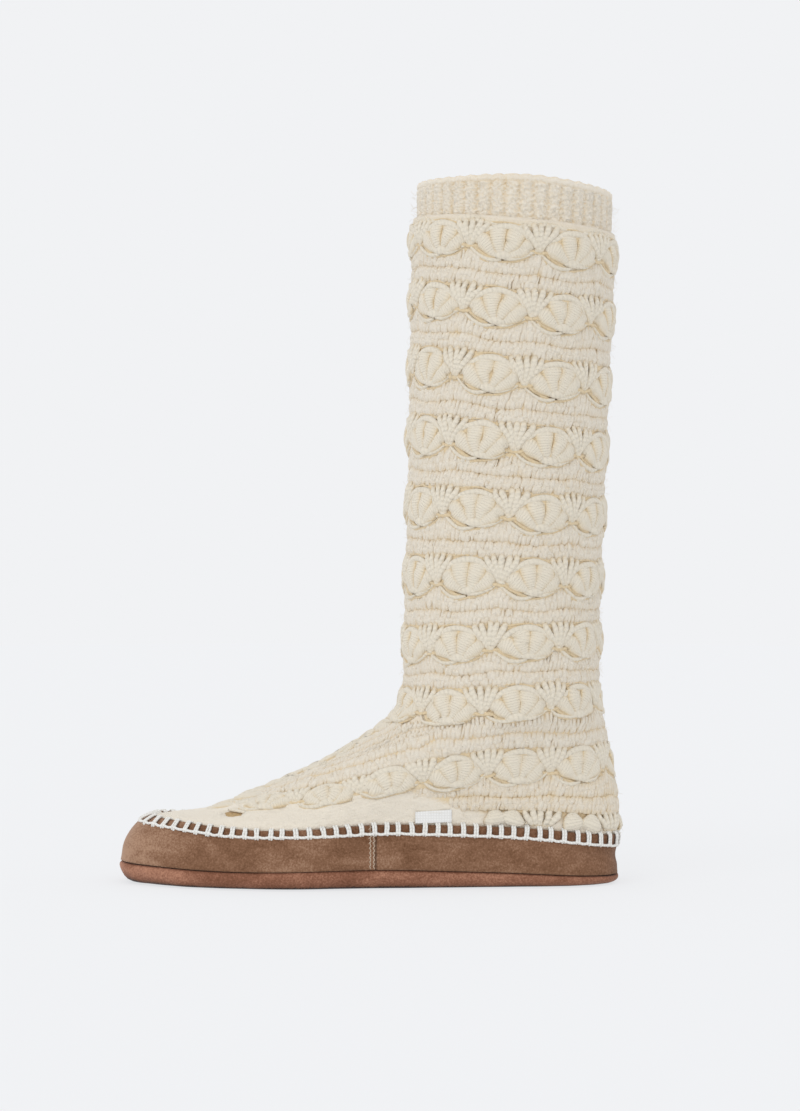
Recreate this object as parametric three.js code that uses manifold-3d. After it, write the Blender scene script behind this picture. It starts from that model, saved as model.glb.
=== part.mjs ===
// A tall slipper for the left foot: a crocheted wool boot on a soft suede sole, with a suede band around it.
// Millimetres, +Z up. The toe points to -X, the outer side of the foot is -Y, and the sole stands on Z = 0.
import * as THREE from "three";
import { mergeVertices } from "three/addons/utils/BufferGeometryUtils.js";
import Module from "manifold-3d";

const wasm = await Module();
wasm.setup();

// Driving sizes
const SOLE_LENGTH = 260;
const SOLE_END_ROUNDING = 0.36;
const TOE_LIFT = 2.2;
const TOE_LIFT_REACH = 0.22;
const WALL = 2.6;
const SEAT_GAP = 0.3;
const INSOLE_THICK = 4.5;
const SIDE_SEAM_X = 3.6;
const LABEL_LENGTH = 18.6;
const LABEL_LEFT_X = 23.8;
const LABEL_THICK = 0.7;
const LABEL_STANDOFF = 1.2;

// Crochet sizes: rows are counted up from the band's edge, and one row is a line of fans and two plain lines
const FAN_RAISE = 2.8;
const PLAIN_RAISE = 1.1;
const BUNDLE_RAISE = 0.7;
const FAN_HALF_HEIGHT = 0.275;
const FAN_HALF_WIDTH = 0.43;
const FANS_ROUND_LEG = 9;
const FANS_ROUND_FOOT = 14;
const TOP_FAN_ROW = 9;
const CUFF_START = 9.36;
const CUFF_TOP = 10.1;
const CUFF_INSET = 0.6;

// Mesh steps
const COLUMNS = 54;
const SOLE_STEPS = 52;
const LENGTH_STEPS = 240;

// Turns rows of numbers into records with the given column names
function table(names, rows) {
  return rows.map((row) => Object.fromEntries(names.map((name, index) => [name, row[index]])));
}

// Real half-widths of the sole, from 0 at the toe tip to 1 at the back of the heel
const SOLE_WIDTHS = table(["station", "outer", "inner"], [
  [0.05, 24.0, 27.5],
  [0.15, 38.5, 39.5],
  [0.32, 48.0, 45.5],
  [0.52, 42.5, 36.0],
  [0.74, 37.0, 34.0],
  [0.94, 27.5, 27.5],
]);

// Side of the outsole from the floor up: how far in from the outline, how high, and its share of the toe lift
const SOLE_SIDE = table(["inset", "height", "lift"], [
  [18.0, 0.0, 0.0],
  [7.0, 0.0, 0.3],
  [2.4, 0.16, 0.8],
  [0.5, 0.45, 1.0],
  [0.0, 0.72, 0.6],
  [0.9, 1.0, 0.0],
  [9.0, 1.0, 0.0],
]);

// The upper's rings. frontX and backX are its profile, outer and inner its half-widths, foot its share of the
// sole's outline, nose how round its front is, heel how round its back is, and the z columns its heights
// from the front to the back in four equal steps.
const RING_NAMES = ["row", "frontX", "backX", "outer", "inner", "foot", "nose", "heel",
  "zFront", "zBall", "zWaist", "zAnkle", "zBack"];
const RINGS = table(RING_NAMES, [
  [-0.70, -127.0, 126.8, 45.0, 42.5, 1.0, 1.0, 0.50, 11.0, 9.2, 10.2, 8.4, 4.6],
  [-0.35, -123.2, 125.4, 45.4, 42.9, 1.0, 1.0, 0.50, 23.8, 19.6, 21.5, 19.8, 14.8],
  [0.00, -112.4, 128.2, 43.6, 41.0, 1.0, 1.0, 0.50, 33.2, 29.4, 32.8, 31.2, 25.3],
  [0.50, -95.0, 127.8, 42.6, 40.5, 0.6, 1.0, 0.50, 35.2, 37.0, 44.6, 47.0, 44.0],
  [1.00, -74.0, 123.6, 42.0, 40.5, 0.2, 0.9, 0.50, 40.0, 46.4, 57.0, 62.8, 62.5],
  [1.50, -62.0, 121.6, 44.0, 43.2, 0.0, 0.2, 0.50, 44.2, 58.0, 73.0, 79.5, 79.0],
  [1.62, -50.0, 120.6, 45.0, 44.6, 0.0, 0.1, 0.50, 48.8, 63.4, 78.5, 83.6, 83.0],
  [1.68, -20.0, 120.0, 45.6, 45.4, 0.0, 0.4, 0.50, 62.6, 73.0, 82.0, 85.4, 85.0],
  [1.74, 6.5, 119.4, 46.2, 46.2, 0.0, 1.5, 0.50, 79.4, 82.5, 85.4, 87.0, 87.0],
  [2.00, 17.6, 117.4, 46.8, 46.8, 0.0, 6.0, 0.50, 91.4, 92.5, 94.0, 95.0, 94.5],
  [2.50, 20.0, 117.8, 47.6, 47.6, 0.0, 8.0, 0.50, 107.5, 109.0, 110.4, 111.0, 110.5],
  [3.00, 20.2, 117.8, 48.0, 48.0, 0.0, 8.0, 0.50, 123.6, 124.5, 125.5, 126.0, 126.0],
  [5.00, 22.2, 120.0, 48.2, 48.2, 0.0, 8.0, 0.50, 196.0, 194.6, 192.4, 191.0, 190.0],
  [9.00, 24.4, 126.0, 49.0, 49.0, 0.0, 8.0, 0.50, 334.0, 331.0, 327.5, 325.5, 324.0],
  [10.10, 24.8, 127.6, 49.2, 49.2, 0.0, 8.0, 0.50, 363.6, 363.6, 363.2, 361.2, 357.8],
]);

// Thickness of the suede band as it climbs from the outsole to its stitched edge, a thinner strip at the top
const BAND_SECTION = table(["row", "thick"], [
  [-0.70, 2.4],
  [-0.55, 2.9],
  [-0.35, 2.6],
  [-0.17, 2.3],
  [-0.16, 1.5],
  [0.00, 1.4],
]);

const BAND_LINING_ROWS = [0.0, -0.35, -0.70];

// Heights inside one crochet row at which the wall is drawn
const ROW_STEPS = [-0.39, -0.275, -0.13, 0.13, 0.275, 0.39];
const FOOT_STEPS = [-0.70, -0.35, 0.0, 0.2, 0.39];
const WEDGE_STEPS = [1.66, 1.695];
const CUFF_STEPS = [9.33, CUFF_START, 10.06];
const LINING_STEPS = [-0.70, -0.35, 0.0, 1.2, 1.5, 1.62, 1.68, CUFF_TOP];

// A gap opens under the front wing of each fan, between these heights of its row
const GAP_LOW = -0.275;
const GAP_HIGH = -0.13;
const GAP_ALONG = -0.33;

const clamp = (value, low, high) => Math.min(high, Math.max(low, value));
const mix = (from, to, share) => from + (to - from) * share;

function smoothStep(low, high, value) {
  const share = clamp((value - low) / (high - low), 0, 1);
  return share * share * (3 - 2 * share);
}

// Smooth curve through points that never overshoots them
function curve(xs, ys) {
  const last = xs.length - 1;
  const slopes = ys.slice(0, last).map((y, i) => (ys[i + 1] - y) / (xs[i + 1] - xs[i]));
  const tangents = xs.map((_, i) => {
    if (i === 0) return slopes[0];
    if (i === last) return slopes[last - 1];
    if (slopes[i - 1] * slopes[i] <= 0) return 0;
    const before = xs[i] - xs[i - 1];
    const after = xs[i + 1] - xs[i];
    const first = 2 * after + before;
    const second = after + 2 * before;
    return (first + second) / (first / slopes[i - 1] + second / slopes[i]);
  });
  return (at) => {
    const x = clamp(at, xs[0], xs[last]);
    let i = 0;
    while (i < last - 1 && x > xs[i + 1]) i += 1;
    const span = xs[i + 1] - xs[i];
    const t = (x - xs[i]) / span;
    const a = ys[i];
    const b = tangents[i] * span;
    const c = 3 * (ys[i + 1] - a) - 2 * b - tangents[i + 1] * span;
    const d = 2 * (a - ys[i + 1]) + b + tangents[i + 1] * span;
    return a + t * (b + t * (c + t * d));
  };
}

function columnCurve(rows, key, name) {
  return curve(rows.map((row) => row[key]), rows.map((row) => row[name]));
}

// Sole outline: half-widths at a station, with both ends rounded
const endRounding = (station) => (4 * station * (1 - station)) ** SOLE_END_ROUNDING;
const SOLE_ENVELOPE = SOLE_WIDTHS.map((row) => ({
  station: row.station,
  outer: row.outer / endRounding(row.station),
  inner: row.inner / endRounding(row.station),
}));
const soleEnvelope = {
  outer: columnCurve(SOLE_ENVELOPE, "station", "outer"),
  inner: columnCurve(SOLE_ENVELOPE, "station", "inner"),
};
const soleHalfWidth = (side, station) => soleEnvelope[side](station) * endRounding(station);
const soleWidest = {
  outer: Math.max(...SOLE_WIDTHS.map((row) => row.outer)),
  inner: Math.max(...SOLE_WIDTHS.map((row) => row.inner)),
};

function solePoint(angle) {
  const station = (1 - Math.cos(angle)) / 2;
  const side = Math.sin(angle) >= 0 ? "outer" : "inner";
  const away = side === "outer" ? -1 : 1;
  return new THREE.Vector2((station - 0.5) * SOLE_LENGTH, away * soleHalfWidth(side, station));
}

function soleInset(angle, inset) {
  const before = solePoint(angle - 0.02);
  const after = solePoint(angle + 0.02);
  const along = after.sub(before).normalize();
  return solePoint(angle).add(new THREE.Vector2(-along.y, along.x).multiplyScalar(inset));
}

// Rings of the upper
const ringCurves = Object.fromEntries(RING_NAMES.map((name) => [name, columnCurve(RINGS, "row", name)]));
const ringCache = new Map();

function ringAt(row) {
  if (!ringCache.has(row)) {
    const ring = Object.fromEntries(RING_NAMES.map((name) => [name, ringCurves[name](row)]));
    const roundShape = (s) => Math.sqrt(s * (s + ring.nose)) * (1 - s) ** ring.heel;
    const widest = Math.max(...Array.from({ length: 99 }, (_, i) => roundShape((i + 1) / 100)));
    ring.round = (s) => roundShape(s) / widest;
    ring.height = curve([0, 0.25, 0.5, 0.75, 1],
      [ring.zFront, ring.zBall, ring.zWaist, ring.zAnkle, ring.zBack]);
    ring.lengths = ringLengths(ring);
    ringCache.set(row, ring);
  }
  return ringCache.get(row);
}

// Point of a ring: angle 0 is its front, a quarter turn its outer side, a half turn its back
function ringPoint(ring, angle) {
  const station = clamp((1 - Math.cos(angle)) / 2, 0, 1);
  const side = Math.sin(angle) >= 0 ? "outer" : "inner";
  const away = side === "outer" ? -1 : 1;
  const footShape = soleHalfWidth(side, station) / soleWidest[side];
  const shape = mix(ring.round(station), footShape, ring.foot);
  return new THREE.Vector3(mix(ring.frontX, ring.backX, station), away * ring[side] * shape, ring.height(station));
}

function ringLengths(ring) {
  const lengths = [0];
  let before = ringPoint(ring, 0);
  for (let i = 1; i <= LENGTH_STEPS; i += 1) {
    const point = ringPoint(ring, (2 * Math.PI * i) / LENGTH_STEPS);
    lengths.push(lengths[i - 1] + point.distanceTo(before));
    before = point;
  }
  return lengths;
}

// Point at a share of the ring's own length
function wallPoint(share, row) {
  const ring = ringAt(row);
  const target = (share - Math.floor(share)) * ring.lengths[LENGTH_STEPS];
  let i = ring.lengths.findIndex((length) => length > target) - 1;
  if (i < 0) i = LENGTH_STEPS - 1;
  const part = (target - ring.lengths[i]) / (ring.lengths[i + 1] - ring.lengths[i]);
  return ringPoint(ring, (2 * Math.PI * (i + part)) / LENGTH_STEPS);
}

function wallNormal(share, row) {
  const along = wallPoint(share + 0.004, row).sub(wallPoint(share - 0.004, row));
  const low = Math.max(row - 0.03, RINGS[0].row);
  const high = Math.min(row + 0.03, CUFF_TOP);
  const up = wallPoint(share, high).sub(wallPoint(share, low));
  const normal = along.cross(up);
  if (row === RINGS[0].row) normal.z = 0;
  return normal.normalize();
}

const offWall = (share, row, out) => wallPoint(share, row).addScaledVector(wallNormal(share, row), out);

// Crochet pattern: where the fans of a row stand, and how far the wall is raised
const fanCount = (row) => (row >= 2 ? FANS_ROUND_LEG : FANS_ROUND_FOOT);
const fanPhase = (row) => (row >= 2 ? 0.3 + 0.085 * row : 0.05);

function columnShift(row) {
  const onLeg = fanPhase(Math.max(row, 2)) / FANS_ROUND_LEG;
  const onFoot = fanPhase(1) / FANS_ROUND_FOOT;
  return mix(onFoot, onLeg, smoothStep(1, 2, row));
}

function stitchRelief(share, row) {
  if (row >= CUFF_START) return -CUFF_INSET;
  const fanRow = Math.min(Math.round(row), TOP_FAN_ROW);
  const rise = Math.abs(row - fanRow);
  const turns = share * fanCount(fanRow) - fanPhase(fanRow);
  const across = turns - Math.round(turns);
  const lens = 1 - (across / FAN_HALF_WIDTH) ** 2 - (rise / FAN_HALF_HEIGHT) ** 2;
  const fan = lens > 0 ? FAN_RAISE * Math.sqrt(lens) : 0;
  const plainShare = clamp((rise - FAN_HALF_HEIGHT) / (0.5 - FAN_HALF_HEIGHT), 0, 1);
  const plain = PLAIN_RAISE * Math.sin(Math.PI * plainShare);
  const bundle = rise < FAN_HALF_HEIGHT - 0.01 ? BUNDLE_RAISE * smoothStep(0.36, 0.5, Math.abs(across)) : 0;
  const fade = smoothStep(0.05, 0.45, row);
  return fade * Math.max(fan, plain, bundle);
}

// Mesh helpers: a ring is a list of points that runs counter-clockwise seen from above
function joinRings(faces, first, second, count) {
  for (let i = 0; i < count; i += 1) {
    const next = (i + 1) % count;
    faces.push(first + i, first + next, second + next);
    faces.push(first + i, second + next, second + i);
  }
}

function solid(points, faces) {
  const geometry = new THREE.BufferGeometry();
  geometry.setAttribute("position", new THREE.Float32BufferAttribute(points.flatMap((p) => [p.x, p.y, p.z]), 3));
  geometry.setIndex(faces);
  return geometry;
}

// A tube of rings whose last ring joins the first
function ringTube(rings) {
  const faces = [];
  const count = rings[0].length;
  rings.forEach((_, i) => joinRings(faces, i * count, ((i + 1) % rings.length) * count, count));
  return solid(rings.flat(), faces);
}

// A stack of rings closed across its first and last ring with strips that run from side to side
function ringStack(rings) {
  const faces = [];
  const count = rings[0].length;
  for (let i = 0; i + 1 < rings.length; i += 1) joinRings(faces, i * count, (i + 1) * count, count);
  closeAcross(faces, 0, count, true);
  closeAcross(faces, (rings.length - 1) * count, count, false);
  return solid(rings.flat(), faces);
}

function closeAcross(faces, first, count, facesDown) {
  const addFace = (a, b, c) => (facesDown ? faces.push(a, c, b) : faces.push(a, b, c));
  for (let i = 0; i < count / 2; i += 1) {
    const left = first + i;
    const leftNext = first + i + 1;
    const right = first + ((count - i) % count);
    const rightNext = first + count - i - 1;
    if (leftNext !== rightNext) addFace(left, leftNext, rightNext);
    if (left !== right) addFace(left, rightNext, right);
  }
}

// A thin plate between an inner and an outer grid of points
function plate(inner, outer) {
  const rows = inner.length;
  const width = inner[0].length;
  const points = [...inner.flat(), ...outer.flat()];
  const outerStart = rows * width;
  const faces = [];
  const quad = (a, b, c, d) => faces.push(a, b, c, a, c, d);
  for (let i = 0; i + 1 < rows; i += 1) {
    for (let j = 0; j + 1 < width; j += 1) {
      const corner = i * width + j;
      quad(corner, corner + width, corner + width + 1, corner + 1);
      quad(outerStart + corner, outerStart + corner + 1, outerStart + corner + width + 1, outerStart + corner + width);
    }
  }
  const edge = [];
  for (let j = 0; j + 1 < width; j += 1) edge.push(j);
  for (let i = 0; i + 1 < rows; i += 1) edge.push(i * width + width - 1);
  for (let j = width - 1; j > 0; j -= 1) edge.push((rows - 1) * width + j);
  for (let i = rows - 1; i > 0; i -= 1) edge.push(i * width);
  edge.forEach((from, i) => {
    const to = edge[(i + 1) % edge.length];
    quad(from, to, outerStart + to, outerStart + from);
  });
  return solid(points, faces);
}

function toManifold(geometry) {
  const plain = new THREE.BufferGeometry();
  plain.setAttribute("position", geometry.getAttribute("position"));
  plain.setIndex(geometry.getIndex());
  const merged = mergeVertices(plain, 1e-4);
  return new wasm.Manifold(new wasm.Mesh({
    numProp: 3,
    vertProperties: new Float32Array(merged.getAttribute("position").array),
    triVerts: new Uint32Array(merged.getIndex().array),
  }));
}

function fromManifold(manifold) {
  const mesh = manifold.getMesh();
  const geometry = new THREE.BufferGeometry();
  const points = [];
  for (let i = 0; i < mesh.vertProperties.length; i += mesh.numProp) {
    points.push(mesh.vertProperties[i], mesh.vertProperties[i + 1], mesh.vertProperties[i + 2]);
  }
  geometry.setAttribute("position", new THREE.Float32BufferAttribute(points, 3));
  geometry.setIndex(Array.from(mesh.triVerts));
  return geometry;
}

const columnShares = (row) => Array.from({ length: COLUMNS }, (_, i) => i / COLUMNS + columnShift(row));
const wallRing = (row, out) => columnShares(row).map((share) => offWall(share, row, out(share, row)));

// Outsole: the band, the upper and the insole all stand on its top
function soleTop(x) {
  const ring = ringAt(RINGS[0].row);
  return ring.height(clamp((x - ring.frontX) / (ring.backX - ring.frontX), 0, 1)) - SEAT_GAP;
}

function soleRing(step) {
  return Array.from({ length: SOLE_STEPS }, (_, i) => {
    const point = soleInset((2 * Math.PI * i) / SOLE_STEPS, step.inset);
    const station = point.x / SOLE_LENGTH + 0.5;
    const lift = TOE_LIFT * clamp(1 - station / TOE_LIFT_REACH, 0, 1) ** 2;
    return new THREE.Vector3(point.x, point.y, step.height * soleTop(point.x) + step.lift * lift);
  });
}

const buildOutsole = () => ringStack(SOLE_SIDE.map(soleRing));

// Suede band: it follows the upper's wall, and is cut in two at the side seams
function buildBand() {
  const inside = BAND_LINING_ROWS.map((row) => wallRing(row, () => SEAT_GAP));
  const outside = BAND_SECTION.map((step) => wallRing(step.row, () => SEAT_GAP + step.thick));
  return toManifold(ringTube([...outside, ...inside]));
}

function halfSpace(fromX, toX) {
  const box = new THREE.BoxGeometry(toX - fromX, 4 * SOLE_LENGTH, 4 * SOLE_LENGTH);
  box.translate((fromX + toX) / 2, 0, 0);
  return toManifold(box);
}

// Upper: raised crochet outside, a plain wall inside, open at the collar and under the foot
function upperRows() {
  const rows = [...FOOT_STEPS, ...WEDGE_STEPS, ...CUFF_STEPS];
  for (let row = 1; row <= TOP_FAN_ROW; row += 1) {
    ROW_STEPS.forEach((step) => {
      if (row + step < CUFF_STEPS[0]) rows.push(row + step);
    });
  }
  return rows.sort((a, b) => a - b);
}

function liningRows() {
  const rows = [...LINING_STEPS];
  for (let row = 1; row <= TOP_FAN_ROW; row += 1) rows.push(row + GAP_LOW, row + GAP_HIGH);
  return rows.sort((a, b) => b - a);
}

// Columns of a fan row where a gap opens, one for each fan
function gapColumns(fanRow) {
  const count = fanCount(fanRow);
  return Array.from({ length: count }, (_, fan) => {
    const share = (fan + fanPhase(fanRow) + GAP_ALONG) / count - columnShift(fanRow + GAP_LOW);
    return (Math.round(share * COLUMNS) + COLUMNS) % COLUMNS;
  });
}

function buildUpper() {
  const outsideRows = upperRows();
  const insideRows = liningRows();
  const outside = outsideRows.map((row) => wallRing(row, stitchRelief));
  const rim = wallRing(CUFF_TOP, () => -CUFF_INSET - 0.5);
  const inside = insideRows.map((row) => wallRing(row, () => -WALL));
  const rings = [...outside, rim, ...inside];
  const corner = (ring, column) => (ring % rings.length) * COLUMNS + (column % COLUMNS);

  const faces = [];
  const openCells = new Set();
  const cellName = (ring, column) => ring + ":" + column;
  for (let row = 1; row <= TOP_FAN_ROW; row += 1) {
    const low = outsideRows.indexOf(row + GAP_LOW);
    const innerHigh = outside.length + 1 + insideRows.indexOf(row + GAP_HIGH);
    gapColumns(row).forEach((column) => {
      openCells.add(cellName(low, column));
      openCells.add(cellName(innerHigh, column));
      const outer = [corner(low, column), corner(low, column + 1), corner(low + 1, column)];
      const inner = [corner(innerHigh + 1, column), corner(innerHigh + 1, column + 1), corner(innerHigh, column)];
      outer.forEach((from, i) => {
        const next = (i + 1) % 3;
        faces.push(from, outer[next], inner[next]);
        faces.push(from, inner[next], inner[i]);
      });
    });
  }
  rings.forEach((_, ring) => {
    for (let column = 0; column < COLUMNS; column += 1) {
      const here = corner(ring, column);
      const beside = corner(ring, column + 1);
      const above = corner(ring + 1, column);
      const across = corner(ring + 1, column + 1);
      const isOpen = openCells.has(cellName(ring, column));
      if (isOpen && ring < outside.length) faces.push(beside, across, above);
      else faces.push(here, beside, across);
      if (!isOpen) faces.push(here, across, above);
    }
  });
  return solid(rings.flat(), faces);
}

// Insole: lies on the outsole inside the upper
function buildInsole() {
  const row = RINGS[0].row;
  const edge = (rise, inset) => columnShares(row).map((share) => {
    const point = offWall(share, row + rise, -WALL - SEAT_GAP - inset);
    point.z = soleTop(point.x) + SEAT_GAP;
    return point;
  });
  const bottom = edge(0.05, 0.4);
  const top = edge(0.15, 0.4);
  top.forEach((point) => { point.z += INSOLE_THICK; });
  const crown = edge(0.15, 3);
  crown.forEach((point) => { point.z += INSOLE_THICK + 0.6; });
  return ringStack([bottom, top, crown]);
}

// Side label: a small tab that lies on the upper just above the band, and rises a little to the back
function labelGrid(out) {
  return [0.0, 0.12, 0.24].map((climb) => [0, 0.25, 0.5, 0.75, 1].map((along) => {
    const row = 0.02 + climb + 0.035 * along;
    const ring = ringAt(row);
    const station = (LABEL_LEFT_X + along * LABEL_LENGTH - ring.frontX) / (ring.backX - ring.frontX);
    const angle = Math.acos(1 - 2 * station);
    const point = ringPoint(ring, angle);
    return point.add(new THREE.Vector3(0, -1, 0.1).normalize().multiplyScalar(out));
  }));
}

const buildLabel = () => plate(labelGrid(LABEL_STANDOFF), labelGrid(LABEL_STANDOFF + LABEL_THICK));

// Colours only tell the pieces apart
const wool = new THREE.MeshStandardMaterial({ color: 0xded4c2, roughness: 0.9, metalness: 0 });
const bandSuede = new THREE.MeshStandardMaterial({ color: 0x84624a, roughness: 0.9, metalness: 0 });
const soleSuede = new THREE.MeshStandardMaterial({ color: 0x936b57, roughness: 0.9, metalness: 0 });
const fleece = new THREE.MeshStandardMaterial({ color: 0xe6dfd2, roughness: 0.95, metalness: 0 });
const ribbon = new THREE.MeshStandardMaterial({ color: 0xf1f0ec, roughness: 0.7, metalness: 0 });

const group = new THREE.Group();

function addPiece(name, geometry, material) {
  const mesh = new THREE.Mesh(geometry, material);
  mesh.name = name;
  geometry.computeVertexNormals();
  group.add(mesh);
}

const band = buildBand();
const seamHalf = SEAT_GAP / 2;
addPiece("outsole", buildOutsole(), soleSuede);
addPiece("band_front", fromManifold(band.intersect(halfSpace(-SOLE_LENGTH, SIDE_SEAM_X - seamHalf))), bandSuede);
addPiece("band_back", fromManifold(band.intersect(halfSpace(SIDE_SEAM_X + seamHalf, SOLE_LENGTH))), bandSuede);
addPiece("upper", buildUpper(), wool);
addPiece("insole", buildInsole(), fleece);
addPiece("side_label", buildLabel(), ribbon);

export default group;
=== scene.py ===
# A tall crocheted slipper for the left foot, dressed over its solids.
# Metres, +Z up. The toe points to -X, the outer side of the foot is -Y, the sole stands on Z = 0.
import math

import bpy
import numpy as np
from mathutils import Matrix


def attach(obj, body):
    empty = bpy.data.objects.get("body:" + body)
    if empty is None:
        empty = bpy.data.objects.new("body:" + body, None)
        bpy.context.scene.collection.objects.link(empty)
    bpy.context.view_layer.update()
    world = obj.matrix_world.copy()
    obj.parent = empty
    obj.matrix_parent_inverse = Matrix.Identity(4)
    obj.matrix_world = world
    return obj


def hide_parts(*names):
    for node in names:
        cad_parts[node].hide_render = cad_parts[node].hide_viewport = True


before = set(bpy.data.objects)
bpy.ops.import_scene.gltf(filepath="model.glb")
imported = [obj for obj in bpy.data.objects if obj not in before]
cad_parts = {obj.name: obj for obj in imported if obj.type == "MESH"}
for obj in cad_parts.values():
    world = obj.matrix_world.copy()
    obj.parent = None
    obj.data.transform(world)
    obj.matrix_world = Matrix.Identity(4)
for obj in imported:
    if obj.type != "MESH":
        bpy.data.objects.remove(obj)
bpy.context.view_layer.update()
rng = np.random.default_rng(41)
mm = 0.001
fullTurn = 2 * math.pi
print("frame loaded with", len(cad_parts), "nodes")


# Shape of the last
last = {
    "soleLength": 260.0,
    "endRounding": 0.36,
    "wall": 2.6,                # thickness of the crocheted wall
    "seatGap": 0.3,             # air between the band and the wool
    "gridRows": 1081,
    "gridTurns": 720,
    "normalReach": 3,           # grid steps to either side from which a normal is taken
    "rowStep": 0.02,            # steps over which slopes are measured
    "shareStep": 0.002,
    "sideSamples": 721,
    "plumbFront": (8, 28),      # X between which stitches turn from square to plumb, front and back
    "plumbBack": (113, 103),
    "leastAlong": 20,           # mm of ring per share, so that no slope runs away at the ends
}

# station from toe (0) to heel (1), outer and inner half width of the sole
soleWidths = np.array([
    [0.05, 24.0, 27.5], [0.15, 38.5, 39.5], [0.32, 48.0, 45.5],
    [0.52, 42.5, 36.0], [0.74, 37.0, 34.0], [0.94, 27.5, 27.5],
])

# rings of the upper, counted in crochet rows up from the band's edge
ringNames = ["row", "frontX", "backX", "outer", "inner", "foot", "nose", "heel",
             "zFront", "zBall", "zWaist", "zAnkle", "zBack"]
ringTable = np.array([
    [-0.70, -127.0, 126.8, 45.0, 42.5, 1.0, 1.0, 0.50, 11.0, 9.2, 10.2, 8.4, 4.6],
    [-0.35, -123.2, 125.4, 45.4, 42.9, 1.0, 1.0, 0.50, 23.8, 19.6, 21.5, 19.8, 14.8],
    [0.00, -112.4, 128.2, 43.6, 41.0, 1.0, 1.0, 0.50, 33.2, 29.4, 32.8, 31.2, 25.3],
    [0.50, -95.0, 127.8, 42.6, 40.5, 0.6, 1.0, 0.50, 35.2, 37.0, 44.6, 47.0, 44.0],
    [1.00, -74.0, 123.6, 42.0, 40.5, 0.2, 0.9, 0.50, 40.0, 46.4, 57.0, 62.8, 62.5],
    [1.50, -62.0, 121.6, 44.0, 43.2, 0.0, 0.2, 0.50, 44.2, 58.0, 73.0, 79.5, 79.0],
    [1.62, -50.0, 120.6, 45.0, 44.6, 0.0, 0.1, 0.50, 48.8, 63.4, 78.5, 83.6, 83.0],
    [1.68, -20.0, 120.0, 45.6, 45.4, 0.0, 0.4, 0.50, 62.6, 73.0, 82.0, 85.4, 85.0],
    [1.74, 6.5, 119.4, 46.2, 46.2, 0.0, 1.5, 0.50, 79.4, 82.5, 85.4, 87.0, 87.0],
    [2.00, 17.6, 117.4, 46.8, 46.8, 0.0, 6.0, 0.50, 91.4, 92.5, 94.0, 95.0, 94.5],
    [2.50, 20.0, 117.8, 47.6, 47.6, 0.0, 8.0, 0.50, 107.5, 109.0, 110.4, 111.0, 110.5],
    [3.00, 20.2, 117.8, 48.0, 48.0, 0.0, 8.0, 0.50, 123.6, 124.5, 125.5, 126.0, 126.0],
    [5.00, 22.2, 120.0, 48.2, 48.2, 0.0, 8.0, 0.50, 196.0, 194.6, 192.4, 191.0, 190.0],
    [9.00, 24.4, 126.0, 49.0, 49.0, 0.0, 8.0, 0.50, 334.0, 331.0, 327.5, 325.5, 324.0],
    [10.10, 24.8, 127.6, 49.2, 49.2, 0.0, 8.0, 0.50, 363.6, 363.6, 363.2, 361.2, 357.8],
])
rowLow, rowHigh = ringTable[0, 0], ringTable[-1, 0]
heightNames = ringNames[8:]
heightStations = [0, 0.25, 0.5, 0.75, 1]


def smoothCurve(xs, ys):
    # runs through its points and never overshoots them
    xs, ys = np.asarray(xs, float), np.asarray(ys, float)
    step = np.diff(xs)
    slope = np.diff(ys) / step
    tangent = np.zeros(len(xs))
    tangent[0], tangent[-1] = slope[0], slope[-1]
    for i in range(1, len(xs) - 1):
        if slope[i - 1] * slope[i] > 0:
            first, second = 2 * step[i] + step[i - 1], step[i] + 2 * step[i - 1]
            tangent[i] = (first + second) / (first / slope[i - 1] + second / slope[i])

    def at(x):
        x = np.clip(x, xs[0], xs[-1])
        i = np.clip(np.searchsorted(xs, x, side="right") - 1, 0, len(xs) - 2)
        t = (x - xs[i]) / step[i]
        a, b = ys[i], tangent[i] * step[i]
        c = 3 * (ys[i + 1] - a) - 2 * b - tangent[i + 1] * step[i]
        d = 2 * (a - ys[i + 1]) + b + tangent[i + 1] * step[i]
        return a + t * (b + t * (c + t * d))

    return at


def smoothStep(low, high, value):
    t = np.clip((value - low) / (high - low), 0, 1)
    return t * t * (3 - 2 * t)


def within(rise, fall, value):
    # 1 between two soft edges, 0 outside them
    return smoothStep(*rise, value) * smoothStep(*fall, value)


def unit(vectors):
    return vectors / np.maximum(np.linalg.norm(vectors, axis=-1, keepdims=True), 1e-12)


def runLength(points):
    # mm along a path of points, from 0 at its start
    steps = np.linalg.norm(np.diff(points, axis=-2), axis=-1)
    return np.concatenate([np.zeros(steps.shape[:-1] + (1,)), np.cumsum(steps, axis=-1)], axis=-1)


def endRound(station):
    return np.clip(4 * station * (1 - station), 0, 1) ** last["endRounding"]


soleEnvelope = [smoothCurve(soleWidths[:, 0], soleWidths[:, side] / endRound(soleWidths[:, 0]))
                for side in (1, 2)]
soleWidest = soleWidths[:, 1:].max(axis=0)
ringCurve = {name: smoothCurve(ringTable[:, 0], ringTable[:, i]) for i, name in enumerate(ringNames)}


def soleHalf(side, station):
    return soleEnvelope[side](station) * endRound(station)


def ringAt(row):
    # sizes of one ring, and its height over the stations from front to back
    ring = {name: float(at(row)) for name, at in ringCurve.items()}
    return ring, smoothCurve(heightStations, [ring[name] for name in heightNames])


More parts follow.
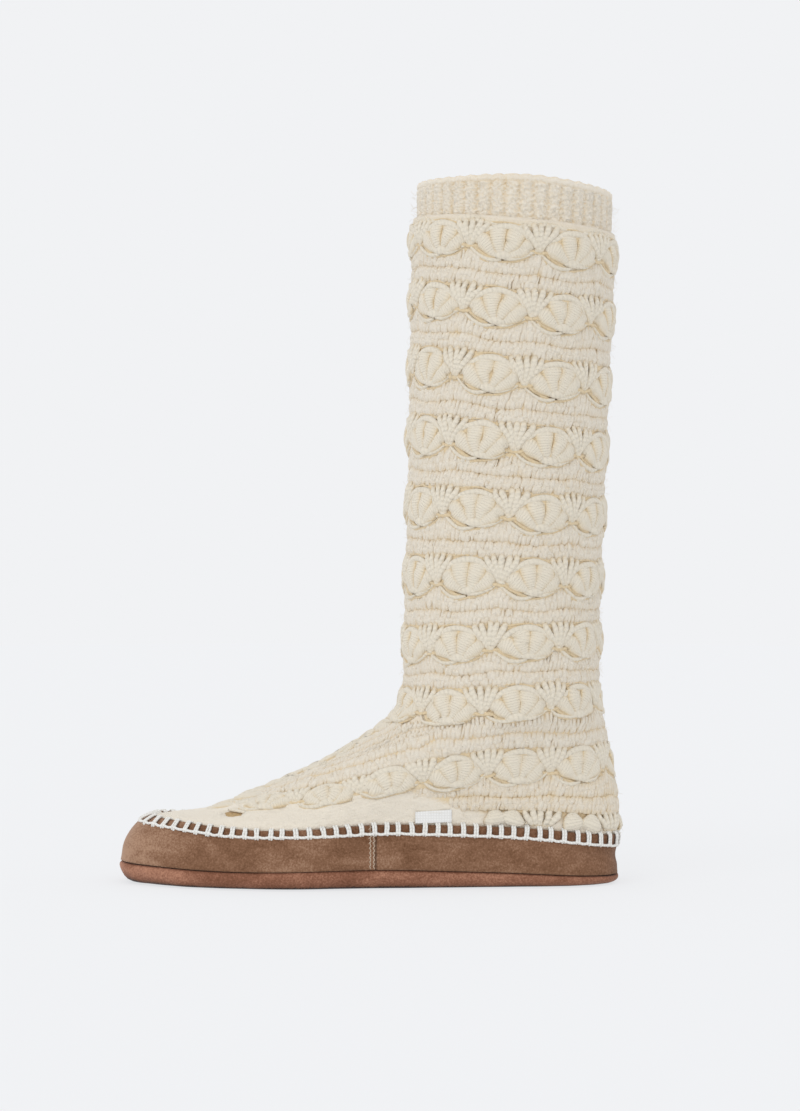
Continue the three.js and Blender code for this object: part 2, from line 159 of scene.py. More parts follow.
def ringPoints(row, angle):
    # angle 0 is the front, a quarter turn the outer side, a half turn the back
    ring, height = ringAt(row)
    station = np.clip((1 - np.cos(angle)) / 2, 0, 1)
    isOuter = np.sin(angle) >= 0

    def roundShape(s):
        return np.sqrt(s * (s + ring["nose"])) * (1 - s) ** ring["heel"]

    full = roundShape(station) / roundShape(np.arange(1, 100) / 100).max()
    sole = np.where(isOuter, soleHalf(0, station) / soleWidest[0], soleHalf(1, station) / soleWidest[1])
    shape = full + (sole - full) * ring["foot"]
    x = ring["frontX"] + (ring["backX"] - ring["frontX"]) * station
    y = np.where(isOuter, -ring["outer"], ring["inner"]) * shape
    return np.stack([x, y, height(station)], axis=-1)


def makeWall():
    rows = np.linspace(rowLow, rowHigh, last["gridRows"])
    turns, reach = last["gridTurns"], last["normalReach"]
    angle = np.linspace(0, fullTurn, turns + 1)
    points = np.zeros((len(rows), turns, 3))
    lengths = np.zeros(len(rows))
    for i, row in enumerate(rows):
        run = runLength(ringPoints(row, angle))
        lengths[i] = run[-1]
        points[i] = ringPoints(row, np.interp(np.arange(turns) / turns * run[-1], run, angle))
    along = np.roll(points, -reach, axis=1) - np.roll(points, reach, axis=1)
    above = np.concatenate([points[reach:], np.repeat(points[-1:], reach, axis=0)])
    below = np.concatenate([np.repeat(points[:1], reach, axis=0), points[:-reach]])
    normals = unit(np.cross(along, above - below))
    return points, normals, lengths


wallPoints, wallNormals, ringLengths = makeWall()
print("last shaped")


def wallAt(share, row, out=0.0):
    # point and normal of the wall in mm: share runs round the ring, row climbs it
    share, row, out = np.broadcast_arrays(share, row, out)
    turns, steps = last["gridTurns"], last["gridRows"] - 1
    u = (share % 1.0) * turns
    i0 = np.floor(u).astype(int) % turns
    i1 = (i0 + 1) % turns
    fu = (u - np.floor(u))[..., None]
    v = np.clip((row - rowLow) / (rowHigh - rowLow) * steps, 0, steps - 0.001)
    j0 = np.floor(v).astype(int)
    fv = (v - j0)[..., None]

    def blend(grid):
        low = grid[j0, i0] * (1 - fu) + grid[j0, i1] * fu
        high = grid[j0 + 1, i0] * (1 - fu) + grid[j0 + 1, i1] * fu
        return low * (1 - fv) + high * fv

    normal = unit(blend(wallNormals))
    return blend(wallPoints) + normal * out[..., None], normal


def wallSlope(share, row, shareStep, rowStep):
    # how far the wall's point moves for one whole share, or for one row
    ahead = wallAt(share + shareStep, row + rowStep)[0]
    behind = wallAt(share - shareStep, row - rowStep)[0]
    return (ahead - behind) / (2 * (shareStep + rowStep))


def slant(share, row):
    # share by which a constant-share line drifts round the ring per row: taken out, a stitch stands square
    climb = wallSlope(share, row, 0, last["rowStep"])
    along = wallSlope(share, row, last["shareStep"], 0)
    return (climb * along).sum(axis=-1) / (along * along).sum(axis=-1)


def upright(share, row):
    # drift to take out so that a stitch stands square on the foot and plumb on the ankle's sides
    rise = wallSlope(share, row, 0, last["rowStep"] / 2)[..., 0]
    along = wallSlope(share, row, last["shareStep"], 0)[..., 0]
    plumb = within(last["plumbFront"], last["plumbBack"], wallAt(share, row)[0][..., 0])
    safe = np.where(np.abs(along) < last["leastAlong"], last["leastAlong"], along)
    return slant(share, row) * (1 - plumb) + rise / safe * plumb


def ringLength(row):
    return np.interp(row, np.linspace(rowLow, rowHigh, last["gridRows"]), ringLengths)


def shareAtX(x, row, inner=False):
    # where level rings pass a given X, on the outer or the inner side
    half = np.linspace(0.0, 0.5, last["sideSamples"]) + 0.5 * inner
    order = -1 if inner else 1
    result = []
    for place, level in zip(*np.broadcast_arrays(x, np.atleast_1d(row))):
        found = wallAt(half, level)[0][:, 0]
        result.append(np.interp(place, found[::order], half[::order]))
    return np.array(result)


# Mesh helpers
def colour(text):
    # sRGB hex to linear
    parts = [int(text[i:i + 2], 16) / 255 for i in (0, 2, 4)]
    return tuple(p / 12.92 if p <= 0.04045 else ((p + 0.055) / 1.055) ** 2.4 for p in parts) + (1.0,)


def buildPiece(name, parts, material, replaced=None):
    # parts are dictionaries of points (mm), quads, tris, and a mark and depth for each point
    points, quads, tris, marks, depths = [], [], [], [], []
    start = 0
    for part in parts:
        count = len(part["points"])
        points.append(part["points"])
        quads.append(part["quads"] + start)
        if "tris" in part:
            tris.append(part["tris"] + start)
        marks.append(part.get("mark", np.zeros((count, 3))))
        depths.append(part.get("depth", np.ones(count)))
        start += count
    points = np.concatenate(points) * mm
    quads = np.concatenate(quads).astype(np.int32)
    tris = np.concatenate(tris).astype(np.int32) if tris else np.zeros((0, 3), np.int32)
    mesh = bpy.data.meshes.new(name)
    mesh.vertices.add(len(points))
    mesh.vertices.foreach_set("co", points.astype(np.float32).ravel())
    mesh.loops.add(quads.size + tris.size)
    mesh.loops.foreach_set("vertex_index", np.concatenate([quads.ravel(), tris.ravel()]))
    mesh.polygons.add(len(quads) + len(tris))
    starts = np.concatenate([np.arange(len(quads)) * 4, quads.size + np.arange(len(tris)) * 3])
    mesh.polygons.foreach_set("loop_start", starts.astype(np.int32))
    mesh.polygons.foreach_set("use_smooth", np.ones(len(starts), bool))
    mesh.update(calc_edges=True)
    mark = mesh.attributes.new("mark", "FLOAT_VECTOR", "POINT")
    mark.data.foreach_set("vector", np.concatenate(marks).astype(np.float32).ravel())
    depth = mesh.attributes.new("depth", "FLOAT", "POINT")
    depth.data.foreach_set("value", np.concatenate(depths).astype(np.float32))
    mesh.validate()
    mesh.materials.append(material)
    piece = bpy.data.objects.new(name, mesh)
    bpy.context.scene.collection.objects.link(piece)
    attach(piece, "root")
    if replaced:
        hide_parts(replaced)
    print("piece", name, len(quads) * 2 + len(tris), "triangles")
    return piece


def gridQuads(rows, columns, closeRows=False, closeColumns=False):
    r = np.arange(rows if closeRows else rows - 1)
    c = np.arange(columns if closeColumns else columns - 1)
    r, c = np.meshgrid(r, c, indexing="ij")
    r1, c1 = (r + 1) % rows, (c + 1) % columns
    corners = [r * columns + c, r * columns + c1, r1 * columns + c1, r1 * columns + c]
    return np.stack(corners, axis=-1).reshape(-1, 4)


def closeAcross(first, count, facesDown):
    # strips from side to side that close a ring
    i = np.arange(1, count // 2 - 1)
    strip = np.stack([first + i, first + i + 1, first + count - i - 1, first + count - i], axis=-1)
    ends = np.array([[first, first + 1, first + count - 1],
                     [first + count // 2, first + count // 2 + 1, first + count // 2 - 1]])
    return (strip[:, ::-1], ends[:, ::-1]) if facesDown else (strip, ends)


def closedPad(rings):
    # a stack of rings, closed below the first and above the last
    count, columns = rings.shape[:2]
    low, lowEnds = closeAcross(0, columns, True)
    high, highEnds = closeAcross((count - 1) * columns, columns, False)
    quads = np.concatenate([gridQuads(count, columns, closeColumns=True), low, high])
    return {"points": rings.reshape(-1, 3), "quads": quads, "tris": np.concatenate([lowEnds, highEnds])}


def splineWeights(controls, samples):
    # weights of a smooth curve through evenly spaced control points
    t = np.linspace(0, controls - 1, samples)
    i = np.clip(np.floor(t).astype(int), 0, controls - 2)
    f = t - i
    shares = [-0.5 * f + f ** 2 - 0.5 * f ** 3, 1 - 2.5 * f ** 2 + 1.5 * f ** 3,
              0.5 * f + 2 * f ** 2 - 1.5 * f ** 3, -0.5 * f ** 2 + 0.5 * f ** 3]
    weights = np.zeros((samples, controls))
    for offset, share in zip((-1, 0, 1, 2), shares):
        np.add.at(weights, (np.arange(samples), np.clip(i + offset, 0, controls - 1)), share)
    return weights


def strandPoints(*columns):
    # control points from share, row, out, half width and half height
    return np.stack(np.broadcast_arrays(*columns), axis=-1)


yarn = {
    "tip": 0.35,                # how far a rounded end reaches, in half heights
    "least": 0.03,              # mm, the thinnest half width and half height
    "tuckRows": (-0.02, 0.13),  # rows over which wool comes out from behind the band
    "tuckSink": 1.6,            # mm by which it lies deeper there
    "tuckFlat": 0.3,            # share of its height that is left there
}


def sweepYarn(controls, samples, sides, tucked=False, toneLift=0.0, flankShade=False):
    # controls (strand, point, 5): share, row, out, half width and half height in mm
    # the tone is painted shade: it follows the height over the wall, or how far a point lies down the
    # strand's flank, darker the lower it lies
    strands, count = controls.shape[:2]
    chart = np.einsum("km,nmc->nkc", splineWeights(count, samples), controls)
    if tucked:
        # wool goes flat where it slips behind the band
        free = smoothStep(*yarn["tuckRows"], chart[..., 1])
        chart[..., 2] = chart[..., 2] * free - yarn["tuckSink"] * (1 - free)
        chart[..., 4] *= yarn["tuckFlat"] + (1 - yarn["tuckFlat"]) * free
    path, normal = wallAt(chart[..., 0], chart[..., 1], chart[..., 2])
    tangent = unit(np.gradient(path, axis=1))
    side = unit(np.cross(tangent, normal))
    lift = np.cross(side, tangent)
    angle = np.arange(sides) / sides * fullTurn
    wide, high = np.maximum(chart[..., 3], yarn["least"]), np.maximum(chart[..., 4], yarn["least"])
    tube = (path[:, :, None] + side[:, :, None] * (np.cos(angle) * wide[..., None])[..., None]
            + lift[:, :, None] * (np.sin(angle) * high[..., None])[..., None])
    tips = np.stack([path[:, 0] - tangent[:, 0] * high[:, :1] * yarn["tip"],
                     path[:, -1] + tangent[:, -1] * high[:, -1:] * yarn["tip"]], axis=1)
    points = np.concatenate([tube.reshape(strands, -1, 3), tips], axis=1)

    perStrand = samples * sides + 2
    first = (np.arange(strands) * perStrand)[:, None, None]
    quads = first + gridQuads(samples, sides, closeColumns=True)[None, :, ::-1]
    ring = np.arange(sides)
    near = np.stack([ring, (ring + 1) % sides, np.full(sides, samples * sides)], axis=-1)
    far = np.stack([(ring + 1) % sides, ring, np.full(sides, samples * sides + 1)], axis=-1)
    far[:, :2] += (samples - 1) * sides
    tris = first + np.concatenate([near, far])[None]

    run = runLength(path)
    mark = np.zeros((strands, perStrand, 3))
    mark[:, :-2, 0] = np.repeat(run, sides, axis=1)
    mark[:, -1, 0] = run[:, -1]
    mark[:, :-2, 1] = np.tile(ring / sides, samples)
    mark[..., 2] = rng.random((strands, 1))
    depth = np.zeros((strands, perStrand))
    if flankShade:
        depth[:, :-2] = np.tile(np.sin(angle), samples)
    else:
        depth[:, :-2] = (chart[..., 2:3] + np.sin(angle) * high[..., None]).reshape(strands, -1)
        depth[:, -2], depth[:, -1] = chart[:, 0, 2], chart[:, -1, 2]
    depth += np.reshape(toneLift, (-1, 1))
    return {"points": points.reshape(-1, 3), "quads": quads.reshape(-1, 4), "tris": tris.reshape(-1, 3),
            "mark": mark.reshape(-1, 3), "depth": depth.ravel()}


# Materials
def setInputs(tree, made, values=None, links=None):
    for name, value in (values or {}).items():
        made.inputs[name].default_value = value
    for name, source in (links or {}).items():
        tree.links.new(source, made.inputs[name])


def addNode(tree, kind, values=None, links=None, **settings):
    made = tree.nodes.new("ShaderNode" + kind)
    for name, value in settings.items():
        setattr(made, name, value)
    setInputs(tree, made, values, links)
    return made


def startMaterial(name):
    material = bpy.data.materials.new(name)
    material.use_nodes = True
    tree = material.node_tree
    return material, tree, tree.nodes["Principled BSDF"]


def setRamp(ramp, stops):
    elements = ramp.color_ramp.elements
    while len(elements) < len(stops):
        elements.new(0.5)
    for element, (position, text) in zip(elements, stops):
        element.position = position
        element.color = colour(text)


wool = {
    "patchWidth": 9.0,          # mm, patches that drift in tone
    "patchShare": 0.18,
    "downWidth": 1.1,           # mm; single fibres are too fine to show, so the down is drawn this wide
    "strandShift": 7.0,         # turns by which the plies differ from strand to strand, at most
    "plyWobble": 0.7,
    "reliefHeight": 1.0,        # mm that a relief of 1 stands for
}


def makeWool(name, settings):
    # undyed sheep's wool, spun soft: matt, downy and ivory; the honey low in the crevices between stitches
    # is painted shade, set by the height over the wall
    material, tree, shader = startMaterial(name)
    place = addNode(tree, "TexCoord").outputs["Object"]
    mark = addNode(tree, "Attribute", attribute_name="mark").outputs["Vector"]
    depth = addNode(tree, "Attribute", attribute_name="depth").outputs["Fac"]
    parts = addNode(tree, "SeparateXYZ", links={"Vector": mark}).outputs
    patch = addNode(tree, "TexNoise", {"Scale": 1 / (wool["patchWidth"] * mm), "Detail": 2.0},
                    {"Vector": place}).outputs["Fac"]
    down = addNode(tree, "TexNoise", {"Scale": 1 / (wool["downWidth"] * mm), "Detail": 3.0,
                                      "Roughness": 0.65}, {"Vector": place}).outputs["Fac"]
    level = addNode(tree, "MapRange", {"From Min": settings["depthLow"], "From Max": settings["depthHigh"]},
                    {"Value": depth}).outputs["Result"]
    for noise, amount in ((down, settings["speck"]), (patch, wool["patchShare"])):
        centred = addNode(tree, "Math", {1: -0.5}, {0: noise}, operation="ADD").outputs[0]
        level = addNode(tree, "Math", {1: amount}, {0: centred, 2: level},
                        operation="MULTIPLY_ADD").outputs[0]
    ramp = addNode(tree, "ValToRGB", links={"Fac": level})
    setRamp(ramp, settings["tones"])
    # spun plies show as a slant or a cross-wrap along the strand
    phase = addNode(tree, "Math", {1: settings["twist"]}, {0: parts["Y"]}, operation="MULTIPLY").outputs[0]
    for source, amount in ((parts["X"], 1 / settings["plyPitch"]), (parts["Z"], wool["strandShift"]),
                           (down, wool["plyWobble"])):
        phase = addNode(tree, "Math", {1: amount}, {0: source, 2: phase},
                        operation="MULTIPLY_ADD").outputs[0]
    ply = addNode(tree, "Math", {1: fullTurn}, {0: phase}, operation="MULTIPLY").outputs[0]
    ply = addNode(tree, "Math", links={0: ply}, operation="SINE").outputs[0]
    relief = addNode(tree, "Math", {1: settings["plyHeight"]}, {0: ply}, operation="MULTIPLY").outputs[0]
    relief = addNode(tree, "Math", {1: settings["downHeight"]}, {0: down, 2: relief},
                     operation="MULTIPLY_ADD").outputs[0]
    bump = addNode(tree, "Bump", {"Strength": 1.0, "Distance": wool["reliefHeight"] * mm},
                   {"Height": relief})
    setInputs(tree, shader, {"Roughness": 0.92, "IOR": 1.54, "Specular IOR Level": 0.15,
                             "Sheen Weight": 0.25, "Sheen Roughness": 0.6},
              {"Base Color": ramp.outputs["Color"], "Normal": bump.outputs["Normal"]})
    return material


# tones from low to high over the wall: the honey lowest stops are painted shade in the crevices
woolTones = [(0.0, "E4CFAA"), (0.28, "E8D8BD"), (0.6, "E9DDC9"), (1.0, "ECE3D3")]
puffTones = [(0.0, "E2CDA8"), (0.30, "E5D5B8"), (0.6, "E7DBC5"), (1.0, "E8DFCD")]
ribTones = [(0.0, "DCC39A"), (0.28, "E6D5B9"), (0.6, "EBE0CD"), (1.0, "EEE6D8")]
deepTones = [(0.0, "7C5A31"), (0.5, "A47F4A"), (1.0, "CFB27D")]
# round strands with the slant of their plies
woolStrand = makeWool("wool_spun_strand", {
    "depthLow": 0.6, "depthHigh": 2.4, "tones": puffTones, "speck": 0.8, "twist": 1.0, "plyPitch": 2.4,
    "plyHeight": 0.08, "downHeight": 0.7})
# tight stitches whose plies hardly show under the down
woolPost = makeWool("wool_plain_lines", {
    "depthLow": 1.0, "depthHigh": 2.5, "tones": woolTones, "speck": 1.1, "twist": 1.0, "plyPitch": 2.6,
    "plyHeight": 0.02, "downHeight": 0.9})
# many thin loops lying across a puff, so fine ribs run over it
woolWrapped = makeWool("wool_wrapped_puff", {
    "depthLow": 0.32, "depthHigh": 0.98, "tones": puffTones, "speck": 0.7, "twist": 0.0, "plyPitch": 1.25,
    "plyHeight": 0.09, "downHeight": 0.7})
# brushed until no stitch shows
woolBrushed = makeWool("wool_brushed_wall", {
    "depthLow": -0.1, "depthHigh": 1.3, "tones": woolTones, "speck": 0.8, "twist": 0.0, "plyPitch": 3.0,
    "plyHeight": 0.0, "downHeight": 0.6})
# loops deep in a gap, brown with shade
woolDeep = makeWool("wool_shaded_loop", {
    "depthLow": -2.2, "depthHigh": 0.6, "tones": deepTones, "speck": 1.2, "twist": 1.0, "plyPitch": 2.4,
    "plyHeight": 0.1, "downHeight": 0.7})
# single hairs, pale against the light
woolFibre = makeWool("wool_loose_fibre", {
    "depthLow": -4.0, "depthHigh": 0.0, "tones": woolTones, "speck": 0.0, "twist": 0.0, "plyPitch": 3.0,
    "plyHeight": 0.0, "downHeight": 0.0})
# knitted ribs, the palest wool of the slipper, with painted shade in the valleys between ribs
woolRib = makeWool("wool_ribbed_cuff", {
    "depthLow": -2.4, "depthHigh": 0.2, "tones": ribTones, "speck": 1.2, "twist": 0.0, "plyPitch": 3.0,
    "plyHeight": 0.0, "downHeight": 0.5})

suede = {
    "patchLength": 14.0,        # mm, brushed patches
    "patchStretch": (0.6, 0.6, 1.4),
    "grainWidth": 1.0,          # mm; the nap is finer than a pixel, so its grain is drawn this wide
    "grainHeight": 0.35,
    "depthShare": 0.5,
}


def makeSuede(name, settings):
    # brushed split leather: no gloss, a short nap that lies light one way and dark the other
    material, tree, shader = startMaterial(name)
    place = addNode(tree, "TexCoord").outputs["Object"]
    depth = addNode(tree, "Attribute", attribute_name="depth").outputs["Fac"]
    flow = addNode(tree, "Mapping", {"Scale": suede["patchStretch"]}, {"Vector": place}).outputs["Vector"]
    patch = addNode(tree, "TexNoise", {"Scale": 1 / (suede["patchLength"] * mm), "Detail": 4.0,
                                       "Roughness": 0.6, "Distortion": 0.6}, {"Vector": flow}).outputs["Fac"]
    grain = addNode(tree, "TexNoise", {"Scale": 1 / (suede["grainWidth"] * mm), "Detail": 3.0,
                                       "Roughness": 0.7}, {"Vector": place}).outputs["Fac"]
    mixed = addNode(tree, "Math", {1: settings["patchShare"]}, {0: patch}, operation="MULTIPLY").outputs[0]
    for source, amount in ((grain, settings["grainShare"]), (depth, suede["depthShare"])):
        mixed = addNode(tree, "Math", {1: amount}, {0: source, 2: mixed},
                        operation="MULTIPLY_ADD").outputs[0]
    mixed = addNode(tree, "MapRange", {"From Min": settings["low"], "From Max": settings["high"]},
                    {"Value": mixed}).outputs["Result"]
    ramp = addNode(tree, "ValToRGB", links={"Fac": mixed})
    setRamp(ramp, settings["tones"])
    bump = addNode(tree, "Bump", {"Strength": 0.6, "Distance": suede["grainHeight"] * mm}, {"Height": grain})
    setInputs(tree, shader, {"Roughness": 0.95, "Specular IOR Level": 0.12, "Sheen Weight": 0.12,
                             "Sheen Roughness": 0.5},
              {"Base Color": ramp.outputs["Color"], "Normal": bump.outputs["Normal"]})
    return material


# brown suede: warm and cloudy where the nap was stroked
bandSuede = makeSuede("suede_brown_band", {
    "grainShare": 1.5, "patchShare": 1.25, "low": 1.38, "high": 2.38,
    "tones": [(0.0, "66452E"), (0.5, "87634B"), (1.0, "AD8A71")]})
# russet suede: redder; its near-black lowest tone is a painted contact shadow where it meets the floor
soleSuede = makeSuede("suede_russet_sole", {
    "grainShare": 1.5, "patchShare": 1.25, "low": 1.08, "high": 2.38,
    "tones": [(0.0, "2A1812"), (0.231, "68422D"), (0.615, "895C47"), (1.0, "B5836A")]})


def makeThread(name, settings):
    # twisted cotton: smooth, with the slant of its plies
    material, tree, shader = startMaterial(name)
    mark = addNode(tree, "Attribute", attribute_name="mark").outputs["Vector"]
    parts = addNode(tree, "SeparateXYZ", links={"Vector": mark}).outputs
    phase = addNode(tree, "Math", {1: 1 / settings["plyPitch"]}, {0: parts["X"], 2: parts["Y"]},
                    operation="MULTIPLY_ADD").outputs[0]
    wave = addNode(tree, "Math", {1: fullTurn}, {0: phase}, operation="MULTIPLY").outputs[0]
    wave = addNode(tree, "Math", links={0: wave}, operation="SINE").outputs[0]
    level = addNode(tree, "MapRange", {"From Min": -1.0, "From Max": 1.0}, {"Value": wave}).outputs["Result"]
    ramp = addNode(tree, "ValToRGB", links={"Fac": level})
    setRamp(ramp, settings["tones"])
    bump = addNode(tree, "Bump", {"Strength": 0.8, "Distance": settings["plyHeight"] * mm}, {"Height": wave})
    setInputs(tree, shader, {"Roughness": settings["roughness"], "Specular IOR Level": 0.3},
              {"Base Color": ramp.outputs["Color"], "Normal": bump.outputs["Normal"]})
    return material


# thick white cord, bright against the suede
cottonCord = makeThread("cotton_white_cord", {
    "tones": [(0.0, "E2E0DA"), (1.0, "F1F0EC")], "plyPitch": 1.6, "plyHeight": 0.06, "roughness": 0.75})
# thin tan thread, a little lighter than the band
seamThread = makeThread("cotton_tan_thread", {
    "tones": [(0.0, "B9A28C"), (1.0, "D6C4B0")], "plyPitch": 0.8, "plyHeight": 0.08, "roughness": 0.7})
print("wool, suede and thread mixed")


# Camera, light and floor
studio = {
    "eye": (0.01604, -1.5, 0.1698),
    "lens": 93.0,
    "sensor": 36.0,
    "farthest": 20.0,
    "backdrop": "F1F2F4",
    "floorTone": "F1F2F4",
    "floorGlow": 0.785,
    "floorShare": 0.22,         # share of its tone that the floor throws back
    "floorRadius": 4.0,
    "floorSides": 96,
    "floorZ": -0.0002,
    "keyPower": 0.5,
    "keyAngle": 50.0,           # degrees; a wide sun, so that shadows stay soft
    "keyPlace": (-0.8, -1.2, 1.2),
    "keyAim": (0.02, 0.0, 0.15),
}


def setCamera(scene):
    camera = bpy.data.objects.new("camera", bpy.data.cameras.new("camera"))
    camera.location = studio["eye"]
    camera.rotation_euler = (math.pi / 2, 0, 0)
    camera.data.lens = studio["lens"]
    camera.data.sensor_width = studio["sensor"]
    camera.data.clip_end = studio["farthest"]
    scene.collection.objects.link(camera)
    scene.camera = camera


def setLights(scene):
    world = bpy.data.worlds.new("studio")
    world.use_nodes = True
    setInputs(world.node_tree, world.node_tree.nodes["Background"],
              {"Color": colour(studio["backdrop"]), "Strength": 1.0})
    scene.world = world

    light = bpy.data.lights.new("key", "SUN")
    light.energy = studio["keyPower"]
    light.angle = math.radians(studio["keyAngle"])
    key = bpy.data.objects.new("key", light)
    key.location = studio["keyPlace"]
    aim = np.array(studio["keyAim"]) - np.array(studio["keyPlace"])
    tilt = math.acos(-aim[2] / np.linalg.norm(aim))
    key.rotation_euler = (tilt, 0, math.atan2(aim[0], -aim[1]) + math.pi)
    scene.collection.objects.link(key)


def setFloor(scene):
    # paper sweep: matt, pale, lit from below so that its edge melts into the backdrop
    material, tree, shader = startMaterial("paper_floor")
    tone = colour(studio["floorTone"])
    setInputs(tree, shader, {"Base Color": tuple(c * studio["floorShare"] for c in tone[:3]) + (1.0,),
                             "Roughness": 1.0, "Specular IOR Level": 0.0, "Emission Color": tone,
                             "Emission Strength": studio["floorGlow"]})
    sides, radius = studio["floorSides"], studio["floorRadius"]
    ring = np.arange(sides) / sides * fullTurn
    mesh = bpy.data.meshes.new("floor")
    mesh.from_pydata([(radius * math.cos(a), radius * math.sin(a), studio["floorZ"]) for a in ring],
                     [], [list(range(sides))])
    mesh.materials.append(material)
    floor = bpy.data.objects.new("floor", mesh)
    scene.collection.objects.link(floor)


def setStudio():
    scene = bpy.context.scene
    scene.view_settings.view_transform = "Standard"
    setCamera(scene)
    setLights(scene)
    setFloor(scene)


setStudio()
print("studio set")


# Crochet pattern
crochet = {
    "spacing": 35.0,            # mm from fan to fan on the chart
    "pitch": 33.0,              # mm from row to row
    "fansLeg": 9,
    "fansFoot": 14,
    "legPhase": 0.3,            # fans by which a ring is shifted: on the leg, for each row, on the foot
    "legTwist": 0.085,
    "footPhase": 0.05,
    "legRow": 2,                # first ring of fans on the leg
    "topRow": 9,
    "postPitch": 2.15,
    "ankleRow": 1.79,           # below it the lowest fans of the leg are walked down plumb
    "ankleKeep": 0.45,          # share of their lower edge left there, and what the front loses of it
    "frontLoss": 0.25,
    "frontX": (48, 22),
    "settleSteps": 20,
    "unevenOut": 0.12,          # hand work: mm out of the wall, share of the width
    "unevenWidth": 0.08,
    "mostUneven": 2,            # spreads at which that share is cut off
    "mostDrift": 0.06,
}

# one fan on the chart: along, up, out, half width, half height in mm
fanPetals = [
    [(-2.6, -7.4, 1.4, 1.3, 1.0), (-4.8, -5.8, 1.8, 2.7, 1.4), (-8.2, -2.8, 2.0, 4.6, 1.7),
     (-11.4, -0.4, 1.7, 4.8, 1.5), (-15.1, -0.4, 0.8, 2.2, 0.9)],
    [(-1.0, -6.8, 1.6, 1.6, 1.1), (-1.9, -3.8, 2.1, 3.0, 1.5), (-2.8, -0.2, 2.4, 4.3, 1.8),
     (-3.5, 3.4, 2.3, 5.1, 1.7), (-3.8, 6.8, 1.5, 5.3, 1.2)],
    [(1.2, -6.8, 1.6, 1.6, 1.1), (2.5, -3.8, 2.1, 3.0, 1.5), (4.2, -0.4, 2.4, 4.4, 1.8),
     (5.4, 2.8, 2.3, 5.2, 1.7), (6.1, 6.2, 1.5, 5.3, 1.2)],
    [(3.0, -7.4, 1.4, 1.3, 1.0), (5.3, -5.9, 1.8, 2.7, 1.4), (8.5, -3.2, 2.0, 4.5, 1.7),
     (11.5, -0.9, 1.7, 4.6, 1.5), (14.9, -0.9, 0.8, 2.1, 0.9)],
]
fanArch = [(-15.8, -2.4, 0.6, 0.9, 0.7), (-12.9, 1.6, 1.5, 1.4, 0.9), (-9.7, 4.6, 1.9, 1.6, 1.0),
           (-5.0, 7.1, 2.0, 1.7, 1.1), (0.5, 8.1, 2.0, 1.7, 1.1), (6.0, 7.1, 2.0, 1.7, 1.1),
           (10.1, 4.4, 1.9, 1.6, 1.0), (12.9, 1.2, 1.5, 1.4, 0.9), (15.5, -2.2, 0.6, 0.9, 0.7)]
fanLowLeft = [(-17.4, -3.8, 1.0, 0.7, 0.7), (-13.8, -7.0, 1.5, 1.0, 0.9), (-9.4, -9.5, 1.6, 1.1, 1.0),
              (-4.8, -10.0, 1.7, 1.1, 1.0), (-0.5, -9.2, 1.5, 0.8, 0.8)]
fanLowRight = [(0.8, -8.6, 1.5, 0.8, 0.8), (4.6, -8.5, 1.7, 1.1, 1.0), (8.6, -7.3, 1.7, 1.1, 1.0),
               (12.6, -5.1, 1.5, 1.0, 0.9), (16.2, -3.0, 1.0, 0.7, 0.7)]
fanHub = [(-5.4, -7.0, 1.4, 0.9, 0.8), (0.2, -6.9, 2.2, 2.4, 1.3), (5.8, -7.2, 1.4, 0.9, 0.8)]
# strands laid deep in the gaps of a fan and coloured honey: painted shade of the gaps
fanGaps = [
    # under the front wing
    [(-16.2, -3.0, 0.9, 0.4, 0.4), (-12.8, -5.2, 1.5, 1.1, 0.6), (-9.4, -7.2, 1.6, 1.4, 0.6),
     (-6.0, -8.7, 1.6, 1.1, 0.6), (-3.0, -9.2, 1.2, 0.4, 0.4)],
    # under the whole fan
    [(-16.5, -5.2, 0.8, 0.5, 0.4), (-13.8, -8.2, 1.1, 0.8, 0.6), (-9.4, -10.7, 1.2, 0.8, 0.6),
     (-4.8, -11.2, 1.2, 0.8, 0.6), (0.0, -10.4, 1.2, 0.8, 0.6), (4.6, -9.8, 1.2, 0.8, 0.6),
     (8.6, -8.6, 1.2, 0.8, 0.6), (12.6, -6.4, 1.1, 0.8, 0.6), (16.0, -4.2, 0.8, 0.5, 0.4)],
    # along the row's upper edge
    [(-18.0, 9.8, 0.9, 0.8, 0.5), (-10.5, 9.2, 1.0, 0.7, 0.5), (-4.0, 9.8, 1.1, 0.6, 0.5),
     (2.0, 10.0, 1.1, 0.7, 0.5), (8.4, 8.2, 1.3, 0.9, 0.5), (12.0, 8.8, 1.0, 0.8, 0.5),
     (18.0, 9.8, 0.9, 0.8, 0.5)],
]
# the bundle between two fans: tops of its strands, then one strand as share of the lean,
# share of the height, mm further up, out, half width and half height
bundleTops = [(-7.8, 8.4), (-4.0, 9.3), (0.0, 9.6), (4.2, 9.5), (8.2, 8.5)]
bundleStem = [(0.12, 0.0, -3.6, 1.0, 1.1, 0.8), (0.26, 0.0, 0.0, 2.0, 1.5, 1.1),
              (0.62, 0.5, 0.0, 2.4, 1.8, 1.2), (0.92, 0.86, 0.0, 2.1, 1.8, 1.1),
              (1.0, 1.0, 1.6, 1.0, 1.4, 0.8)]
bundleKnot = [(-2.6, -3.4, 0.7, 0.7, 0.6), (0.0, -2.6, 1.4, 1.3, 1.0), (2.6, -3.4, 0.7, 0.7, 0.6)]
# painted shade: a honey strand in the gap under the bundle's knot
bundleGap = [(-7.4, -4.8, 1.2, 0.5, 0.5), (-4.4, -3.5, 1.7, 1.1, 0.6), (-2.0, -3.9, 1.5, 1.1, 0.6),
             (0.0, -4.1, 1.5, 1.1, 0.6), (2.0, -3.9, 1.5, 1.1, 0.6), (4.4, -3.5, 1.7, 1.1, 0.6),
             (7.4, -4.8, 1.2, 0.5, 0.5)]
